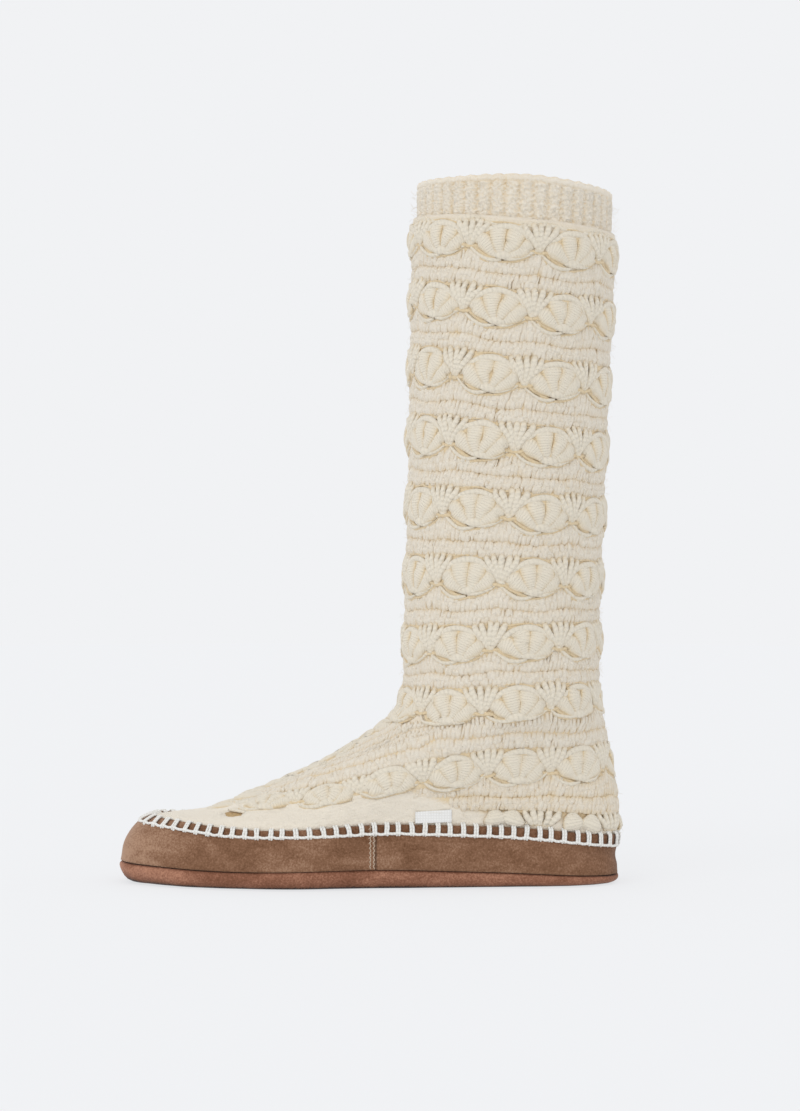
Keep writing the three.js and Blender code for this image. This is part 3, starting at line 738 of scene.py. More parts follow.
# one open stitch on the outer side of the toe: a deep loop, coloured dark brown as painted shade in the
# hole, and a strand across it, as x, row, out, half width, half height
toeLoop = [(-74.2, 0.69, -1.5, 1.6, 1.1), (-72.2, 0.66, -1.4, 4.8, 1.1), (-69.8, 0.63, -1.3, 6.0, 1.1),
           (-67.2, 0.60, -1.4, 4.8, 1.1), (-65.0, 0.575, -1.5, 1.4, 1.1)]
toeStrand = [(-72.0, 0.75, 0.4, 0.9, 0.8), (-70.0, 0.72, 0.5, 1.0, 0.8), (-67.6, 0.69, 0.6, 1.1, 0.8),
             (-65.0, 0.66, 0.5, 1.0, 0.8), (-62.8, 0.635, 0.4, 0.8, 0.8)]


def fanPhase(level):
    # fans in a ring, and by how many fans the ring is shifted
    onLeg = np.asarray(level) >= crochet["legRow"]
    number = np.where(onLeg, crochet["fansLeg"], crochet["fansFoot"])
    return number, np.where(onLeg, crochet["legPhase"] + crochet["legTwist"] * level, crochet["footPhase"])


def fanPlaces():
    # share and row of every fan, and the number of fans in its ring
    places = []
    for level in range(crochet["topRow"] + 1):
        number, phase = fanPhase(level)
        turn = np.arange(int(number))
        places.append(np.stack(np.broadcast_arrays((turn + phase) / number, float(level), float(number))))
    return np.concatenate(places, axis=1)


def ankleShare(x):
    # how much of a fan's lower edge is left where the leg turns into the foot
    return crochet["ankleKeep"] - crochet["frontLoss"] * smoothStep(*crochet["frontX"], x)


def ankleFoot(x):
    # row of the lower edge of the ankle's fans
    edge = crochet["ankleRow"] - crochet["legRow"] - fanLowLeft[3][1] / crochet["pitch"]
    return crochet["ankleRow"] - edge * ankleShare(x)


def settle(strands):
    # below the ankle ring the wall runs out over the instep: strands there are walked down plumb
    low, steps = crochet["ankleRow"], crochet["settleSteps"]
    deep = np.minimum(strands[..., 1] - low, 0)
    start = np.maximum(strands[..., 1], low)
    deep = deep * ankleShare(wallAt(strands[..., 0], start)[0][..., 0])
    share = strands[..., 0].copy()
    for step in range(steps):
        share = share - upright(share, start + deep * (step + 0.5) / steps) * deep / steps
    strands[..., 0] = share
    strands[..., 1] = start + deep
    return strands


def chartStrands(points, share, row, count, jitter, sink):
    # sets one chart strand at every place, with the small slips of hand work
    strands = np.repeat(np.array(points, float)[None], len(share), axis=0)
    slip = rng.normal(0, 1, strands.shape)
    strands[..., :2] += slip[..., :2] * jitter
    strands[..., 2] += slip[..., 2] * crochet["unevenOut"] - sink[:, None]
    most = crochet["mostUneven"]
    strands[..., 3:] *= 1 + np.clip(slip[..., 3:], -most, most) * crochet["unevenWidth"]
    climb = strands[..., 1] / crochet["pitch"]
    drift = np.clip(slant(share, row), -crochet["mostDrift"], crochet["mostDrift"])[:, None] * climb
    strands[..., 0] = share[:, None] + strands[..., 0] / (crochet["spacing"] * count[:, None]) - drift
    strands[..., 1] = row[:, None] + climb
    ankle = np.round(row) == crochet["legRow"]
    strands[ankle] = settle(strands[ankle])
    return strands


fans = {
    "heelX": 64.0,              # the lowest ring looks out over the band only behind this
    "flatX": (30, -30),         # the fans lie flatter over the foot, and once more at the toe
    "toeX": (-48, -72),
    "flat": 0.9,
    "headSink": 0.5,            # mm by which the lowest ring lies deeper
    "legLift": 0.6,             # mm by which the fans of the leg stand further out
    "slip": 0.6,                # mm by which a fan sits beside its place, half of it up or down
    # painted shade of the gaps, paler over the foot and at the toe
    "gapShadeTone": -2.0,            # honey in the gaps, paler over the foot and at the toe
    "footPale": 1.1,
    "toePale": 1.2,
    "toePaleX": (-45, -68),
    "bundleTone": -0.5,
    "toeTone": 1.5,             # lifts the strand across the open stitch at the toe
    # behind the band only the heads of the puffs look out, pressed broad and round
    "headScale": [1, 1, 1, 1.2, 1.15],
    "headShift": [0, 2, 0.2, 0, 0],
    "headEnd": (0.4, -0.7, 0.4),    # mm up and out at the tip, and the share of its width that is left
    "headTone": 0.35,
    # samples, sides and mm of jitter of every kind of strand
    "detail": {"petal": (13, 10, 0.25), "arch": (18, 6, 0.25), "low": (9, 6, 0.2), "hub": (9, 8, 0.2),
               "stem": (8, 6, 0.35), "knot": (7, 6, 0.2), "gap": (11, 5, 0.2), "bundleGap": (9, 5, 0.2)},
    "loopDetail": (15, 12),         # samples and sides alone
    "acrossDetail": (11, 8),
}


def makeFans():
    share, row, count = fanPlaces()
    x = wallAt(share, row)[0][:, 0]
    shown = (row >= 1) | (x > fans["heelX"])
    share, row, count, x = share[shown], row[shown], count[shown], x[shown]
    full = row >= 1
    onFoot = row == 1
    sink = onFoot * fans["flat"] * (smoothStep(*fans["flatX"], x) + smoothStep(*fans["toeX"], x))
    sink = sink + fans["headSink"] * (row == 0) - fans["legLift"] * (row >= crochet["legRow"])
    # painted shade of the gaps, made paler over the foot and at the toe
    pale = fans["footPale"] * smoothStep(*fans["flatX"], x)
    pale = pale + fans["toePale"] * smoothStep(*fans["toePaleX"], x)
    honey = fans["gapShadeTone"] + pale * onFoot
    slip = rng.normal(0, fans["slip"], (len(share), 2))
    share = share + slip[:, 0] / (crochet["spacing"] * count)
    row = row + slip[:, 1] * 0.5 / crochet["pitch"]
    puffs, strands, deep = [], [], []

    def place(points, at, chosen, kind, tone=0.0):
        samples, sides, jitter = fans["detail"][kind]
        isPuff = kind == "petal"
        spot = chartStrands(points, at[chosen], row[chosen], count[chosen], jitter, sink[chosen])
        lift = tone if isPuff else sink[chosen] + tone
        return sweepYarn(spot, samples, sides, tucked=True, toneLift=lift, flankShade=isPuff)

    every = np.ones(len(share), bool)
    half = share + 0.5 / count
    tipUp, tipOut, tipWidth = fans["headEnd"]
    for petal in fanPetals:
        puffs.append(place(petal, share, full, "petal"))
        head = np.array(petal) * fans["headScale"] + fans["headShift"]
        head[-1] += [0, tipUp, tipOut, (tipWidth - 1) * head[-1, 3], 0]
        puffs.append(place(head, share, ~full, "petal", fans["headTone"]))
    for part, kind in ((fanArch, "arch"), (fanLowLeft, "low"), (fanLowRight, "low"), (fanHub, "hub")):
        strands.append(place(part, share, full, kind))
    for lean, top in bundleTops:
        stem = [(lean * aside, top * climb + more, *rest) for aside, climb, more, *rest in bundleStem]
        strands.append(place(stem, half, every, "stem", fans["bundleTone"]))
    strands.append(place(bundleKnot, half, full, "knot"))
    for gap, chosen in zip(fanGaps, (full, full, every)):
        deep.append(place(gap, share, chosen, "gap", honey[chosen]))
    deep.append(place(bundleGap, half, full, "bundleGap", fans["gapShadeTone"]))
    toe = np.array([toeLoop, toeStrand])
    toe[..., 0] = [shareAtX(strand[:, 0], strand[:, 1]) for strand in toe]
    # the deep loop's dark brown is painted shade in the open stitch
    buildPiece("toe_slip", [sweepYarn(toe[:1], *fans["loopDetail"])], woolDeep)
    deep.append(sweepYarn(toe[1:], *fans["acrossDetail"], toneLift=fans["toeTone"]))
    buildPiece("fan_petals", puffs, woolWrapped)
    buildPiece("fan_strands", strands + deep, woolStrand)


makeFans()


# Plain lines of post stitches between the fans
plain = {
    "edges": [-23.2, -16.4, -9.8],      # mm below a fan's middle: foot, groove and head of its two lines
    "extraHeight": 7.2,                 # further lines in the wedge between foot and leg
    "extraLines": 4,
    "middleGap": 13.0,                  # mm left free beside the middle line of the instep, up to this X
    "middleX": 20.0,
    # a post shows as two short bumps, one over the other: climb, out, half width, half height
    "bumps": [
        [(-0.05, 0.45, 1.3, 0.7), (0.12, 1.05, 1.7, 1.0), (0.32, 1.40, 1.8, 1.1), (0.50, 1.35, 1.75, 1.0),
         (0.68, 0.75, 1.35, 0.7)],
        [(0.32, 0.75, 1.35, 0.7), (0.50, 1.35, 1.75, 1.0), (0.68, 1.40, 1.8, 1.1), (0.88, 1.05, 1.7, 1.0),
         (1.05, 0.45, 1.3, 0.7)],
    ],
    "lift": 0.9,                        # mm by which a line stays raised where it meets the fans
    "liftClimb": [-0.05, 0.12, 0.88, 1.05],
    "split": 0.16,                      # how far the joint of the two wanders, as a share of the height
    "thinShare": 0.06,                  # share of posts worked so thin that a gap shows beside them
    "thinLoss": 0.42,
    "beside": 0.10,                     # hand work: posts sit beside their place, lean, swell, rise and slip
    "lean": (0.48, 0.56),
    "plump": 0.10,
    "raised": 0.13,
    "footSlip": 0.2,
    "headSlip": 0.25,
    "sag": 1.1,                         # mm by which the groove rises between two fans, and wanders
    "wander": 0.5,
    "legTurns": 7,
    "footTurns": 9,
    "legRise": 5.2,                     # mm by which the upper line climbs into the gap between two fans
    "footRise": 4.6,
    "riseCurve": 1.6,
    "heelX": (62, 34),                  # the heel's lines sink into the brushed wool and end there
    "heelSink": 1.5,
    "heelEnds": (40, 22),
    "heelEndSpread": 3,
    "heelTone": -0.3,
    "footRow": 1.5,                     # row whose length gives the number of posts over the foot
    "fanFoot": 1.85,                    # row of the fans' feet above them
    "footTop": 1.99,                    # row up to which the lines of the foot are followed
    "wedgeRoom": 20,                    # mm of room from which the wedge has further lines
    "overlap": 0.8,                     # mm by which the last of them slips under the fans
    "leastLine": 2.4,                   # mm, the shortest further line, upper line and room for any line
    "leastHead": 3,
    "leastRoom": 2,
    "narrowRoom": (24, 18),             # mm of room below which these lines are pressed together
    "detail": (5, 6),                   # samples and sides of a bump
}


def bumpClimbs(tier, count):
    # heights of one bump's points for every post
    climb = np.array(plain["bumps"][tier])[:, 0]
    reach = 1 + rng.uniform(-plain["split"], plain["split"], (count, 1))
    edge = climb[0] if tier == 0 else climb[-1]
    return edge + (climb - edge) * reach


def betweenFans(share, level):
    # 0 under the middle of a fan, 1 half way to the next
    number, phase = fanPhase(level)
    turn = share * number - phase
    return np.abs(turn - np.round(turn)) * 2


def climbPaths(share, row, top):
    # walks up the wall from a row: rows, shares, run in mm and points of every path
    step, margin = 0.004, 0.0015
    rows = np.arange(row, top, step)
    shares = np.zeros((len(rows), len(share)))
    side = np.floor(share * 2) / 2
    here = share.copy()
    for i, level in enumerate(rows):
        shares[i] = here
        here = np.clip(here - upright(here, level) * step, side + margin, side + 0.5 - margin)
    path = wallAt(shares, rows[:, None])[0]
    return rows, shares, runLength(np.swapaxes(path, 0, 1)).T, path


def postBumps(spots, bump, pitch, sink, lift=(0.0, 0.0)):
    # one bump for every post, with the small unevenness of hand work; lift raises its foot and head
    count = len(spots)
    climb, out, wide, tall = np.array(bump).T
    thin = rng.random(count) < plain["thinShare"]
    width = ringLength(spots[:, 2, 1]) * pitch / crochet["postPitch"]
    lean = rng.normal(*plain["lean"], count) * pitch
    plump = 1 + rng.normal(0, plain["plump"], count) - plain["thinLoss"] * thin
    raised = rng.normal(0, plain["raised"], count) - sink
    ends = np.interp(climb, plain["liftClimb"], [lift[0], 0, 0, lift[1]])
    return strandPoints(spots[..., 0] + lean[:, None] * (climb - climb.mean()), spots[..., 1],
                        out + raised[:, None] + ends, wide * (plump * width)[:, None], tall)


def ringLines(level):
    # the two lines under one ring of fans on the leg, or on the heel for the lowest
    yarns = []
    for isUpper, (lowUp, highUp) in enumerate(zip(plain["edges"], plain["edges"][1:])):
        middle = level + (lowUp + highUp) / 2 / crochet["pitch"]
        total = int(round(ringLength(middle) / crochet["postPitch"]))
        for tier, bump in enumerate(plain["bumps"]):
            climb = bumpClimbs(tier, total)
            share = (np.arange(total) + 0.5 * tier + rng.normal(0, plain["beside"], total)) / total
            across = betweenFans(share, level)
            wave = plain["sag"] * across ** 2
            wave = wave + plain["wander"] * np.sin(share * fullTurn * plain["legTurns"] + level)
            rise = plain["legRise"] * across ** plain["riseCurve"]
            low = lowUp + (wave if isUpper else 0) + rng.normal(0, plain["footSlip"], total)
            high = highUp + (rise if isUpper else wave) + rng.normal(0, plain["headSlip"], total)
            rows = level + (low[:, None] + (high - low)[:, None] * climb) / crochet["pitch"]
            base = rows.mean(axis=1)
            shares = share[:, None] - slant(share, base)[:, None] * (rows - base[:, None])
            sink = np.zeros(total)
            kept = np.ones(total, bool)
            tone = 0.0
            if level == 1:
                x = wallAt(share, base)[0][:, 0]
                sink = plain["heelSink"] * smoothStep(*plain["heelX"], x)
                kept = x > plain["heelEnds"][isUpper] + rng.normal(0, plain["heelEndSpread"], total)
                tone = plain["heelTone"]
            lift = (0.0, plain["lift"]) if isUpper else (plain["lift"], 0.0)
            stem = postBumps(np.stack([shares, rows], axis=-1), bump, 1 / total, sink, lift)
            yarns.append(sweepYarn(stem[kept], *plain["detail"], toneLift=sink[kept] + tone))
    return yarns


def footLines():
    # over the foot the lines follow the fans below; more lines fill the wedge in front of the ankle
    foot, middle, top = plain["edges"]
    start = crochet["legRow"] + foot / crochet["pitch"]
    total = int(round(ringLength(plain["footRow"]) / crochet["postPitch"]))
    full = top - foot
    yarns = []
    for tier, bump in enumerate(plain["bumps"]):
        climb = bumpClimbs(tier, total)
        share = (np.arange(total) + 0.25 + 0.5 * tier + rng.normal(0, plain["beside"], total)) / total
        rows, shares, run, path = climbPaths(share, start - last["rowStep"], plain["footTop"])
        met = (np.abs(path[..., 1]) < plain["middleGap"]) & (path[..., 0] < plain["middleX"])
        met |= rows[:, None] > ankleFoot(path[..., 0])
        met[-1] = True
        room = run[np.argmax(met, axis=0), np.arange(total)]
        across = betweenFans(shares[np.argmin(np.abs(rows - plain["fanFoot"]))], crochet["legRow"])
        narrow = smoothStep(*plain["narrowRoom"], room)
        stretch = 1 + (room / full - 1) * narrow
        groove = middle - foot + plain["wander"] * np.sin(share * fullTurn * plain["footTurns"])
        groove = groove * stretch
        head = full * stretch
        rise = plain["footRise"] * across ** plain["riseCurve"] * narrow
        lines = [(np.zeros(total), groove, np.ones(total, bool)),
                 (groove, head + rise, head > plain["leastHead"])]
        for extra in range(plain["extraLines"]):
            low = np.full(total, full + plain["extraHeight"] * extra)
            high = np.minimum(low + plain["extraHeight"], room + plain["overlap"])
            lines.append((low, high, (room > plain["wedgeRoom"]) & (high - low > plain["leastLine"])))
        for low, high, wanted in lines:
            kept = wanted & (low < room) & (room > plain["leastRoom"])
            lengths = low[:, None] + (high - low)[:, None] * climb
            lengths = lengths + rng.normal(0, plain["footSlip"], (total, 1))
            spots = np.zeros((total, len(bump), 2))
            for i in np.flatnonzero(kept):
                spots[i, :, 0] = np.interp(lengths[i], run[:, i], shares[:, i])
                spots[i, :, 1] = np.interp(lengths[i], run[:, i], rows)
            stem = postBumps(spots[kept], bump, 1 / total, np.zeros(kept.sum()))
            yarns.append(sweepYarn(stem, *plain["detail"]))
    return yarns


def makePosts():
    buildPiece("post_stitches_foot", ringLines(1) + footLines() + ringLines(3), woolPost)
    for name, levels in (("post_stitches_low", (4, 5, 6)), ("post_stitches_high", (7, 8, 9))):
        buildPiece(name, [stitch for level in levels for stitch in ringLines(level)], woolPost)


makePosts()


# Rolls of wool that cross the instep and show as bumps along its outline
instep = {
    "rows": (1.2, 1.97), "samples": 300,
    "fromX": -66.0, "toX": 13.0, "pitch": 7.3,
    "reach": 19.0, "height": 2.2, "points": 13,
    "fill": 0.66,               # half width as a share of the way to the next roll, and its limits in mm
    "widths": (1.4, 5.2),
    "crest": 1.0, "ends": -0.5,     # mm out of the wall in the middle and at the ends
    "taper": 3.5, "endWidth": 0.45, "endHeight": 0.35,
    # spread of hand work: mm along the ridge, share of the reach, share, row, share of the width, mm out
    "uneven": (0.3, 0.16, 0.004, 0.004, 0.08, 0.25),
    "tone": 0.15,
    "detail": (30, 12),         # samples and sides of a roll
}


def makeInstep():
    rows = np.linspace(*instep["rows"], instep["samples"])
    ridge = wallAt(0.0, rows)[0]
    run = runLength(ridge)
    first, final = [np.interp(instep[name], ridge[:, 0], run) for name in ("fromX", "toX")]
    count, points = int(round((final - first) / instep["pitch"])), instep["points"]
    alongSlip, reachSlip, shareSlip, rowSlip, widthSlip, outSlip = instep["uneven"]
    along = np.linspace(first, final, count) + rng.normal(0, alongSlip, count)
    level = np.interp(along, run, rows)[:, None]
    turn = np.linspace(-1, 1, points)
    reach = instep["reach"] * (1 + rng.normal(0, reachSlip, (count, 1)))
    share = turn * reach / ringLength(level) + rng.normal(0, shareSlip, (count, 1))
    row = level + rng.normal(0, rowSlip, (count, points))
    nextRow = np.interp(along + instep["pitch"], run, rows)[:, None]
    following = wallAt(share * ringLength(level) / ringLength(nextRow), nextRow)[0]
    gap = np.linalg.norm(following - wallAt(share, row)[0], axis=-1)
    ends = 1 - np.abs(turn) ** instep["taper"]
    lumps = 1 + rng.normal(0, widthSlip, (count, points))
    taper, droop = [instep[name] + (1 - instep[name]) * ends for name in ("endWidth", "endHeight")]
    wide = np.clip(instep["fill"] * gap, *instep["widths"]) * taper * lumps
    out = (instep["crest"] - instep["ends"]) * ends + instep["ends"]
    out = out + rng.normal(0, outSlip, (count, points))
    rolls = strandPoints(share, row, out, wide, instep["height"] * droop)
    swept = sweepYarn(rolls, *instep["detail"], toneLift=instep["tone"], flankShade=True)
    buildPiece("instep_rolls", [swept], woolWrapped)


makeInstep()


# Brushed wall under the stitches
wallSettings = {
    "columns": 256, "rows": 224, "innerRows": 50, "top": 9.40,
    "ease": 0.3,                        # mm by which the wall stands out, twice that under the cuff's edge
    "edgeRows": (9.2, 9.3),
    "brushed": 0.5, "ripple": 0.4,      # mm of swell and waves where the wool is brushed
    # the waves: number round the ring and rate up the rows, each with how far and how often it bends
    "rippleAround": (37, 3, 9), "rippleUp": (41, 2, 60),
    # row up to which it is brushed at the toe, and drops of that limit between two X
    "brushedTop": 0.70, "brushedDrops": [(0.34, 18, 46), (0.20, 40, 70)], "brushedEdge": (-0.03, 0.05),
    "tuckRows": (-0.1, 0.08),
    "behindBand": -0.05, "bandRow": 0.02,   # mm out of the wall up to this row, where the band covers it
    # swell under a fan: half width in fans, half height in rows, height in mm
    "lens": (0.40, 0.27, 1.6),
    # rows over which the wall rises and falls: around each fan, and in the wedge of plain lines
    "fanRows": ((-0.27, -0.19), (0.34, 0.28)),
    "wedgeRows": ((1.2, 1.3), (1.80, 1.72)),
    # swell under each plain line: middle and half height, in rows below the next ring
    "lines": [(-0.61, 0.115), (-0.40, 0.10)],
    "flatX": (30, -30), "flatRows": (1.4, 1.25), "flatLoss": 0.6,
    "legLift": 0.5, "legRows": (1.8, 1.9), "legTop": 0.3,
    "fromRow": 0.7,                     # below this the wall has no swells
    # the open stitch near the toe, on the outer side: x, row, half length, half height, depth
    "pit": (-69.6, 0.63, 4.8, 5.2, 2.8),
    # the back of every line shows inside as a low ridge, from this row up to the cuff
    "ridge": 0.25, "ridgesPerRow": 3.1, "ridgeRow": 0.3, "insideRows": (9.3, 9.1),
    # tones: painted shade of the gaps, what full brushing adds, how much of it cuff, instep and ankle have,
    # and the inside
    "gapShadeTone": -0.1, "brushedTone": 1.35, "cuffTone": 0.7, "instepTone": 0.6, "insideTone": 0.8,
    # where these tones lie: crest of the instep, front of the ankle, toe and cuff
    "crestY": (20, 15), "crestX": (22, 14), "crestRows": (1.15, 1.25),
    "ankleX": (40, 28), "ankleRows": ((1.62, 1.70), (1.95, 1.88)),
    "toeX": (30, 10), "toeRows": (1.05, 0.95), "cuffRows": (9.20, 9.27),
}


def lineSwell(climb, middle, half):
    # round swell of one plain line under its stitches
    turn = (climb - np.ceil(climb) - middle) / half
    return np.sqrt(np.clip(1 - turn ** 2, 0, 1))


def brushedZone(share, row):
    # 1 where the wool is smooth and brushed: the toe and the side below the fans
    x = wallAt(share, row)[0][..., 0]
    limit = wallSettings["brushedTop"]
    for drop, fromX, toX in wallSettings["brushedDrops"]:
        limit = limit - drop * smoothStep(fromX, toX, x)
    return 1 - smoothStep(*wallSettings["brushedEdge"], row - limit)


def wallOut(share, row, brushed):
    # mm by which the outer face stands out of the plain wall
    x = wallAt(share, row)[0][..., 0]
    turns, bend, often = wallSettings["rippleAround"]
    ripple = np.sin(share * fullTurn * turns + bend * np.sin(row * often))
    rate, bend, often = wallSettings["rippleUp"]
    ripple = ripple * np.sin(row * rate + bend * np.sin(share * often))
    out = wallSettings["ease"] * (1 + smoothStep(*wallSettings["edgeRows"], row))
    out = out + brushed * (wallSettings["brushed"] + wallSettings["ripple"] * ripple)
    fanRow = np.clip(np.round(row), 1, crochet["topRow"])
    number, phase = fanPhase(fanRow)
    turn = share * number - phase
    wide, tall, swell = wallSettings["lens"]
    lens = 1 - ((turn - np.round(turn)) / wide) ** 2 - ((row - fanRow) / tall) ** 2
    ground = within(*wallSettings["fanRows"], row - fanRow)
    ground = np.maximum(ground, within(*wallSettings["wedgeRows"], row))
    for middle, half in wallSettings["lines"]:
        ground = np.maximum(ground, lineSwell(row, middle, half))
    toeward = smoothStep(*wallSettings["flatX"], x) * smoothStep(*wallSettings["flatRows"], row)
    relief = (1 - wallSettings["flatLoss"] * toeward) * (ground + swell * np.sqrt(np.clip(lens, 0, 1)))
    onLeg = smoothStep(*wallSettings["legRows"], row) * smoothStep(*wallSettings["fanRows"][0], row - fanRow)
    relief = relief + wallSettings["legLift"] * onLeg * (row < fanRow + wallSettings["legTop"])
    out = np.where(row > wallSettings["fromRow"], out + relief, out)
    pitX, pitRow, wide, tall, deep = wallSettings["pit"]
    near = ((x - pitX) / wide) ** 2 + ((row - pitRow) * crochet["pitch"] / tall) ** 2
    out = out - deep * np.exp(-near ** 2) * (share < 0.5)
    return np.where(row < wallSettings["bandRow"], wallSettings["behindBand"], out)


def makeWallPiece():
    columns, rows, innerRows = [wallSettings[name] for name in ("columns", "rows", "innerRows")]
    around = np.arange(columns) / columns
    share, row = np.meshgrid(around, np.linspace(rowLow, wallSettings["top"], rows))
    brushed = brushedZone(share, row) * smoothStep(*wallSettings["tuckRows"], row)
    outside = wallAt(share, row, wallOut(share, row, brushed))[0]
    back, inner = np.meshgrid(around, np.linspace(rowLow, wallSettings["top"], innerRows))
    ridge = 1 + np.cos(fullTurn * inner * wallSettings["ridgesPerRow"]) * (inner > wallSettings["ridgeRow"])
    ridge = wallSettings["ridge"] * ridge * smoothStep(*wallSettings["insideRows"], inner)
    inside = wallAt(back, inner, -last["wall"] - ridge)[0]
    points = np.concatenate([outside.reshape(-1, 3), inside[::-1].reshape(-1, 3)])
    # pale where it is brushed, over the toe, under the cuff, along the instep and in front of the ankle;
    # elsewhere it lies in the gaps between stitches and is painted darker as painted shade
    x, y = outside[..., 0], outside[..., 1]
    crest = smoothStep(*wallSettings["crestY"], np.abs(y)) * smoothStep(*wallSettings["crestX"], x)
    crest = crest * smoothStep(*wallSettings["crestRows"], row)
    front = smoothStep(*wallSettings["ankleX"], x) * within(*wallSettings["ankleRows"], row)
    toe = smoothStep(*wallSettings["toeX"], x) * smoothStep(*wallSettings["toeRows"], row)
    under = wallSettings["cuffTone"] * smoothStep(*wallSettings["cuffRows"], row)
    smooth = np.max([brushed, toe, under, wallSettings["instepTone"] * np.maximum(crest, front)], axis=0)
    tone = wallSettings["brushedTone"] * smooth + wallSettings["gapShadeTone"]
    depth = np.concatenate([tone.ravel(), np.full(back.size, wallSettings["insideTone"])])
    quads = gridQuads(rows + innerRows, columns, closeRows=True, closeColumns=True)
    part = {"points": points, "quads": quads, "depth": depth}
    buildPiece("brushed_wall", [part], woolBrushed, "upper")


makeWallPiece()


# Loose fibres that blur the outline
fuzz = {
    "count": 3400, "lengths": (1.6, 5.2), "rows": (0.05, 9.9), "fromX": -62.0,
    "thick": 0.05,              # real ones are about 0.03 mm across; drawn three times that to show
    "root": 1.6, "cuffSink": 1.2, "cuffRow": 9.4,
    "curl": 0.9, "spread": 0.75,
    "reach": [(0.0, 0.6), (0.55, 0.75), (1.0, 0.85)],   # share of the length and how steeply it stands there
    "detail": (3, 3),           # samples and sides of a hair
}


def makeFuzz():
    count = fuzz["count"]
    row = rng.uniform(*fuzz["rows"], count)
    share = rng.random(count)
    kept = wallAt(share, row)[0][:, 0] > fuzz["fromX"]
    turn = rng.uniform(0, fullTurn, count)
    length = rng.uniform(*fuzz["lengths"], count) * fuzz["spread"]
    root = fuzz["root"] - fuzz["cuffSink"] * (row > fuzz["cuffRow"])
    hairs = []
    for reach, steep in fuzz["reach"]:
        bend = turn + fuzz["curl"] * reach * rng.normal(0, 1, count)
        hairs.append(strandPoints(share + np.cos(bend) * reach * length / ringLength(row),
                                  row + np.sin(bend) * reach * length / crochet["pitch"],
                                  root + steep * length * reach, fuzz["thick"], fuzz["thick"]))
    swept = sweepYarn(np.stack(hairs, axis=1)[kept], *fuzz["detail"])
    buildPiece("loose_fibres", [swept], woolFibre)


makeFuzz()


# Ribbed cuff
cuff = {
    "ribs": 42, "ribHeight": 0.38, "stitchHeight": 0.62, "course": 2.1, "columns": 504,
    "start": 9.30, "top": 10.055, "rows": 54, "innerRows": 20, "rowHeight": 27.0,
    "out": -0.85, "inside": 0.65,
    # the bound-off rim stands a little proud over a shallow groove
    "grooveRow": 9.985, "grooveWidth": 0.018, "groove": 0.35, "rimRows": (9.99, 10.02), "rim": 0.3,
    "flatRows": (9.96, 10.0), "flatLoss": 0.7,
    # over the rim: row, out and share of the relief
    "lip": [(10.085, -0.8, 0.3), (10.098, -1.5, 0.2), (10.085, -2.2, 0.0)],
    "insideRelief": -0.3, "insideTone": -1.0,
    "ribEdge": 0.7,             # below 1 the ribs turn squarer
    "slope": 1.1,               # courses by which the two legs of a stitch rise from its middle
    "legShare": 0.6, "valleyShare": 0.5, "wobbleShare": 0.6,
    # slow waves that break the evenness: number, mm, turns, rise per mm
    "wobbles": 14, "wobble": 0.11, "wobbleTurns": (20, 150), "wobbleRise": (-2.2, 2.2),
    "wobbleShift": (0, 6.3),
    "ease": 0.35, "easeTurns": 3, "easeShift": 1, "easeRows": (9.6, 10.1),
    # rows by which the rim dips: in all, over every rib, with the wobble, and in slow waves
    "dip": (-0.006, 0.009, 0.010, 0.006), "dipTurns": 5, "dipRows": (9.9, 10.05),
    "leastRelief": 0.3,         # up to this share a point lies over the rim or inside
}
# soft double lip of the first crocheted line, which laps over the cuff: out, half width, half height
cuffEdge = {
    "layers": [(0.9, 1.5, 1.2), (1.4, 1.2, 1.0)], "points": 7, "half": 0.62,
    "row": 9.316, "drop": 0.040, "wave": 0.032, "phase": 2.4, "hook": 0.016,
    "tuck": 1.1, "endLoss": 0.35, "rowSlip": 0.008, "widthSlip": 0.06,
    "detail": (16, 9),          # samples and sides of a strand
}


def cuffProfile():
    # row, out and share of the relief, up the outside, over the rim and down the inside
    profile = []
    for row in np.linspace(cuff["start"], cuff["top"], cuff["rows"]):
        groove = cuff["groove"] * math.exp(-((row - cuff["grooveRow"]) / cuff["grooveWidth"]) ** 2)
        out = cuff["out"] - groove + cuff["rim"] * smoothStep(*cuff["rimRows"], row)
        profile.append((row, out, 1.0 - cuff["flatLoss"] * smoothStep(*cuff["flatRows"], row)))
    profile += cuff["lip"]
    for row in np.linspace(cuff["top"], cuff["start"], cuff["innerRows"]):
        profile.append((row, -last["wall"] - cuff["inside"], cuff["insideRelief"]))
    return profile


def cuffLip(layer):
    raised, wide, tall = cuffEdge["layers"][layer]
    count, points = crochet["fansLeg"] * 2, cuffEdge["points"]
    end = np.linspace(-1, 1, points)
    share = (np.arange(count)[:, None] + 0.5 * layer + cuffEdge["half"] * end) / count
    wave = cuffEdge["wave"] * np.cos(share * fullTurn * crochet["fansLeg"] + cuffEdge["phase"])
    row = cuffEdge["row"] - cuffEdge["drop"] * layer + wave
    row = row + rng.normal(0, cuffEdge["rowSlip"], (count, points)) + cuffEdge["hook"] * end ** 3
    wide = wide * (1 - cuffEdge["endLoss"] * np.abs(end) ** 3)
    wide = wide * (1 + rng.normal(0, cuffEdge["widthSlip"], (count, points)))
    return strandPoints(share, row, raised - cuffEdge["tuck"] * np.abs(end) ** 4, wide, tall)


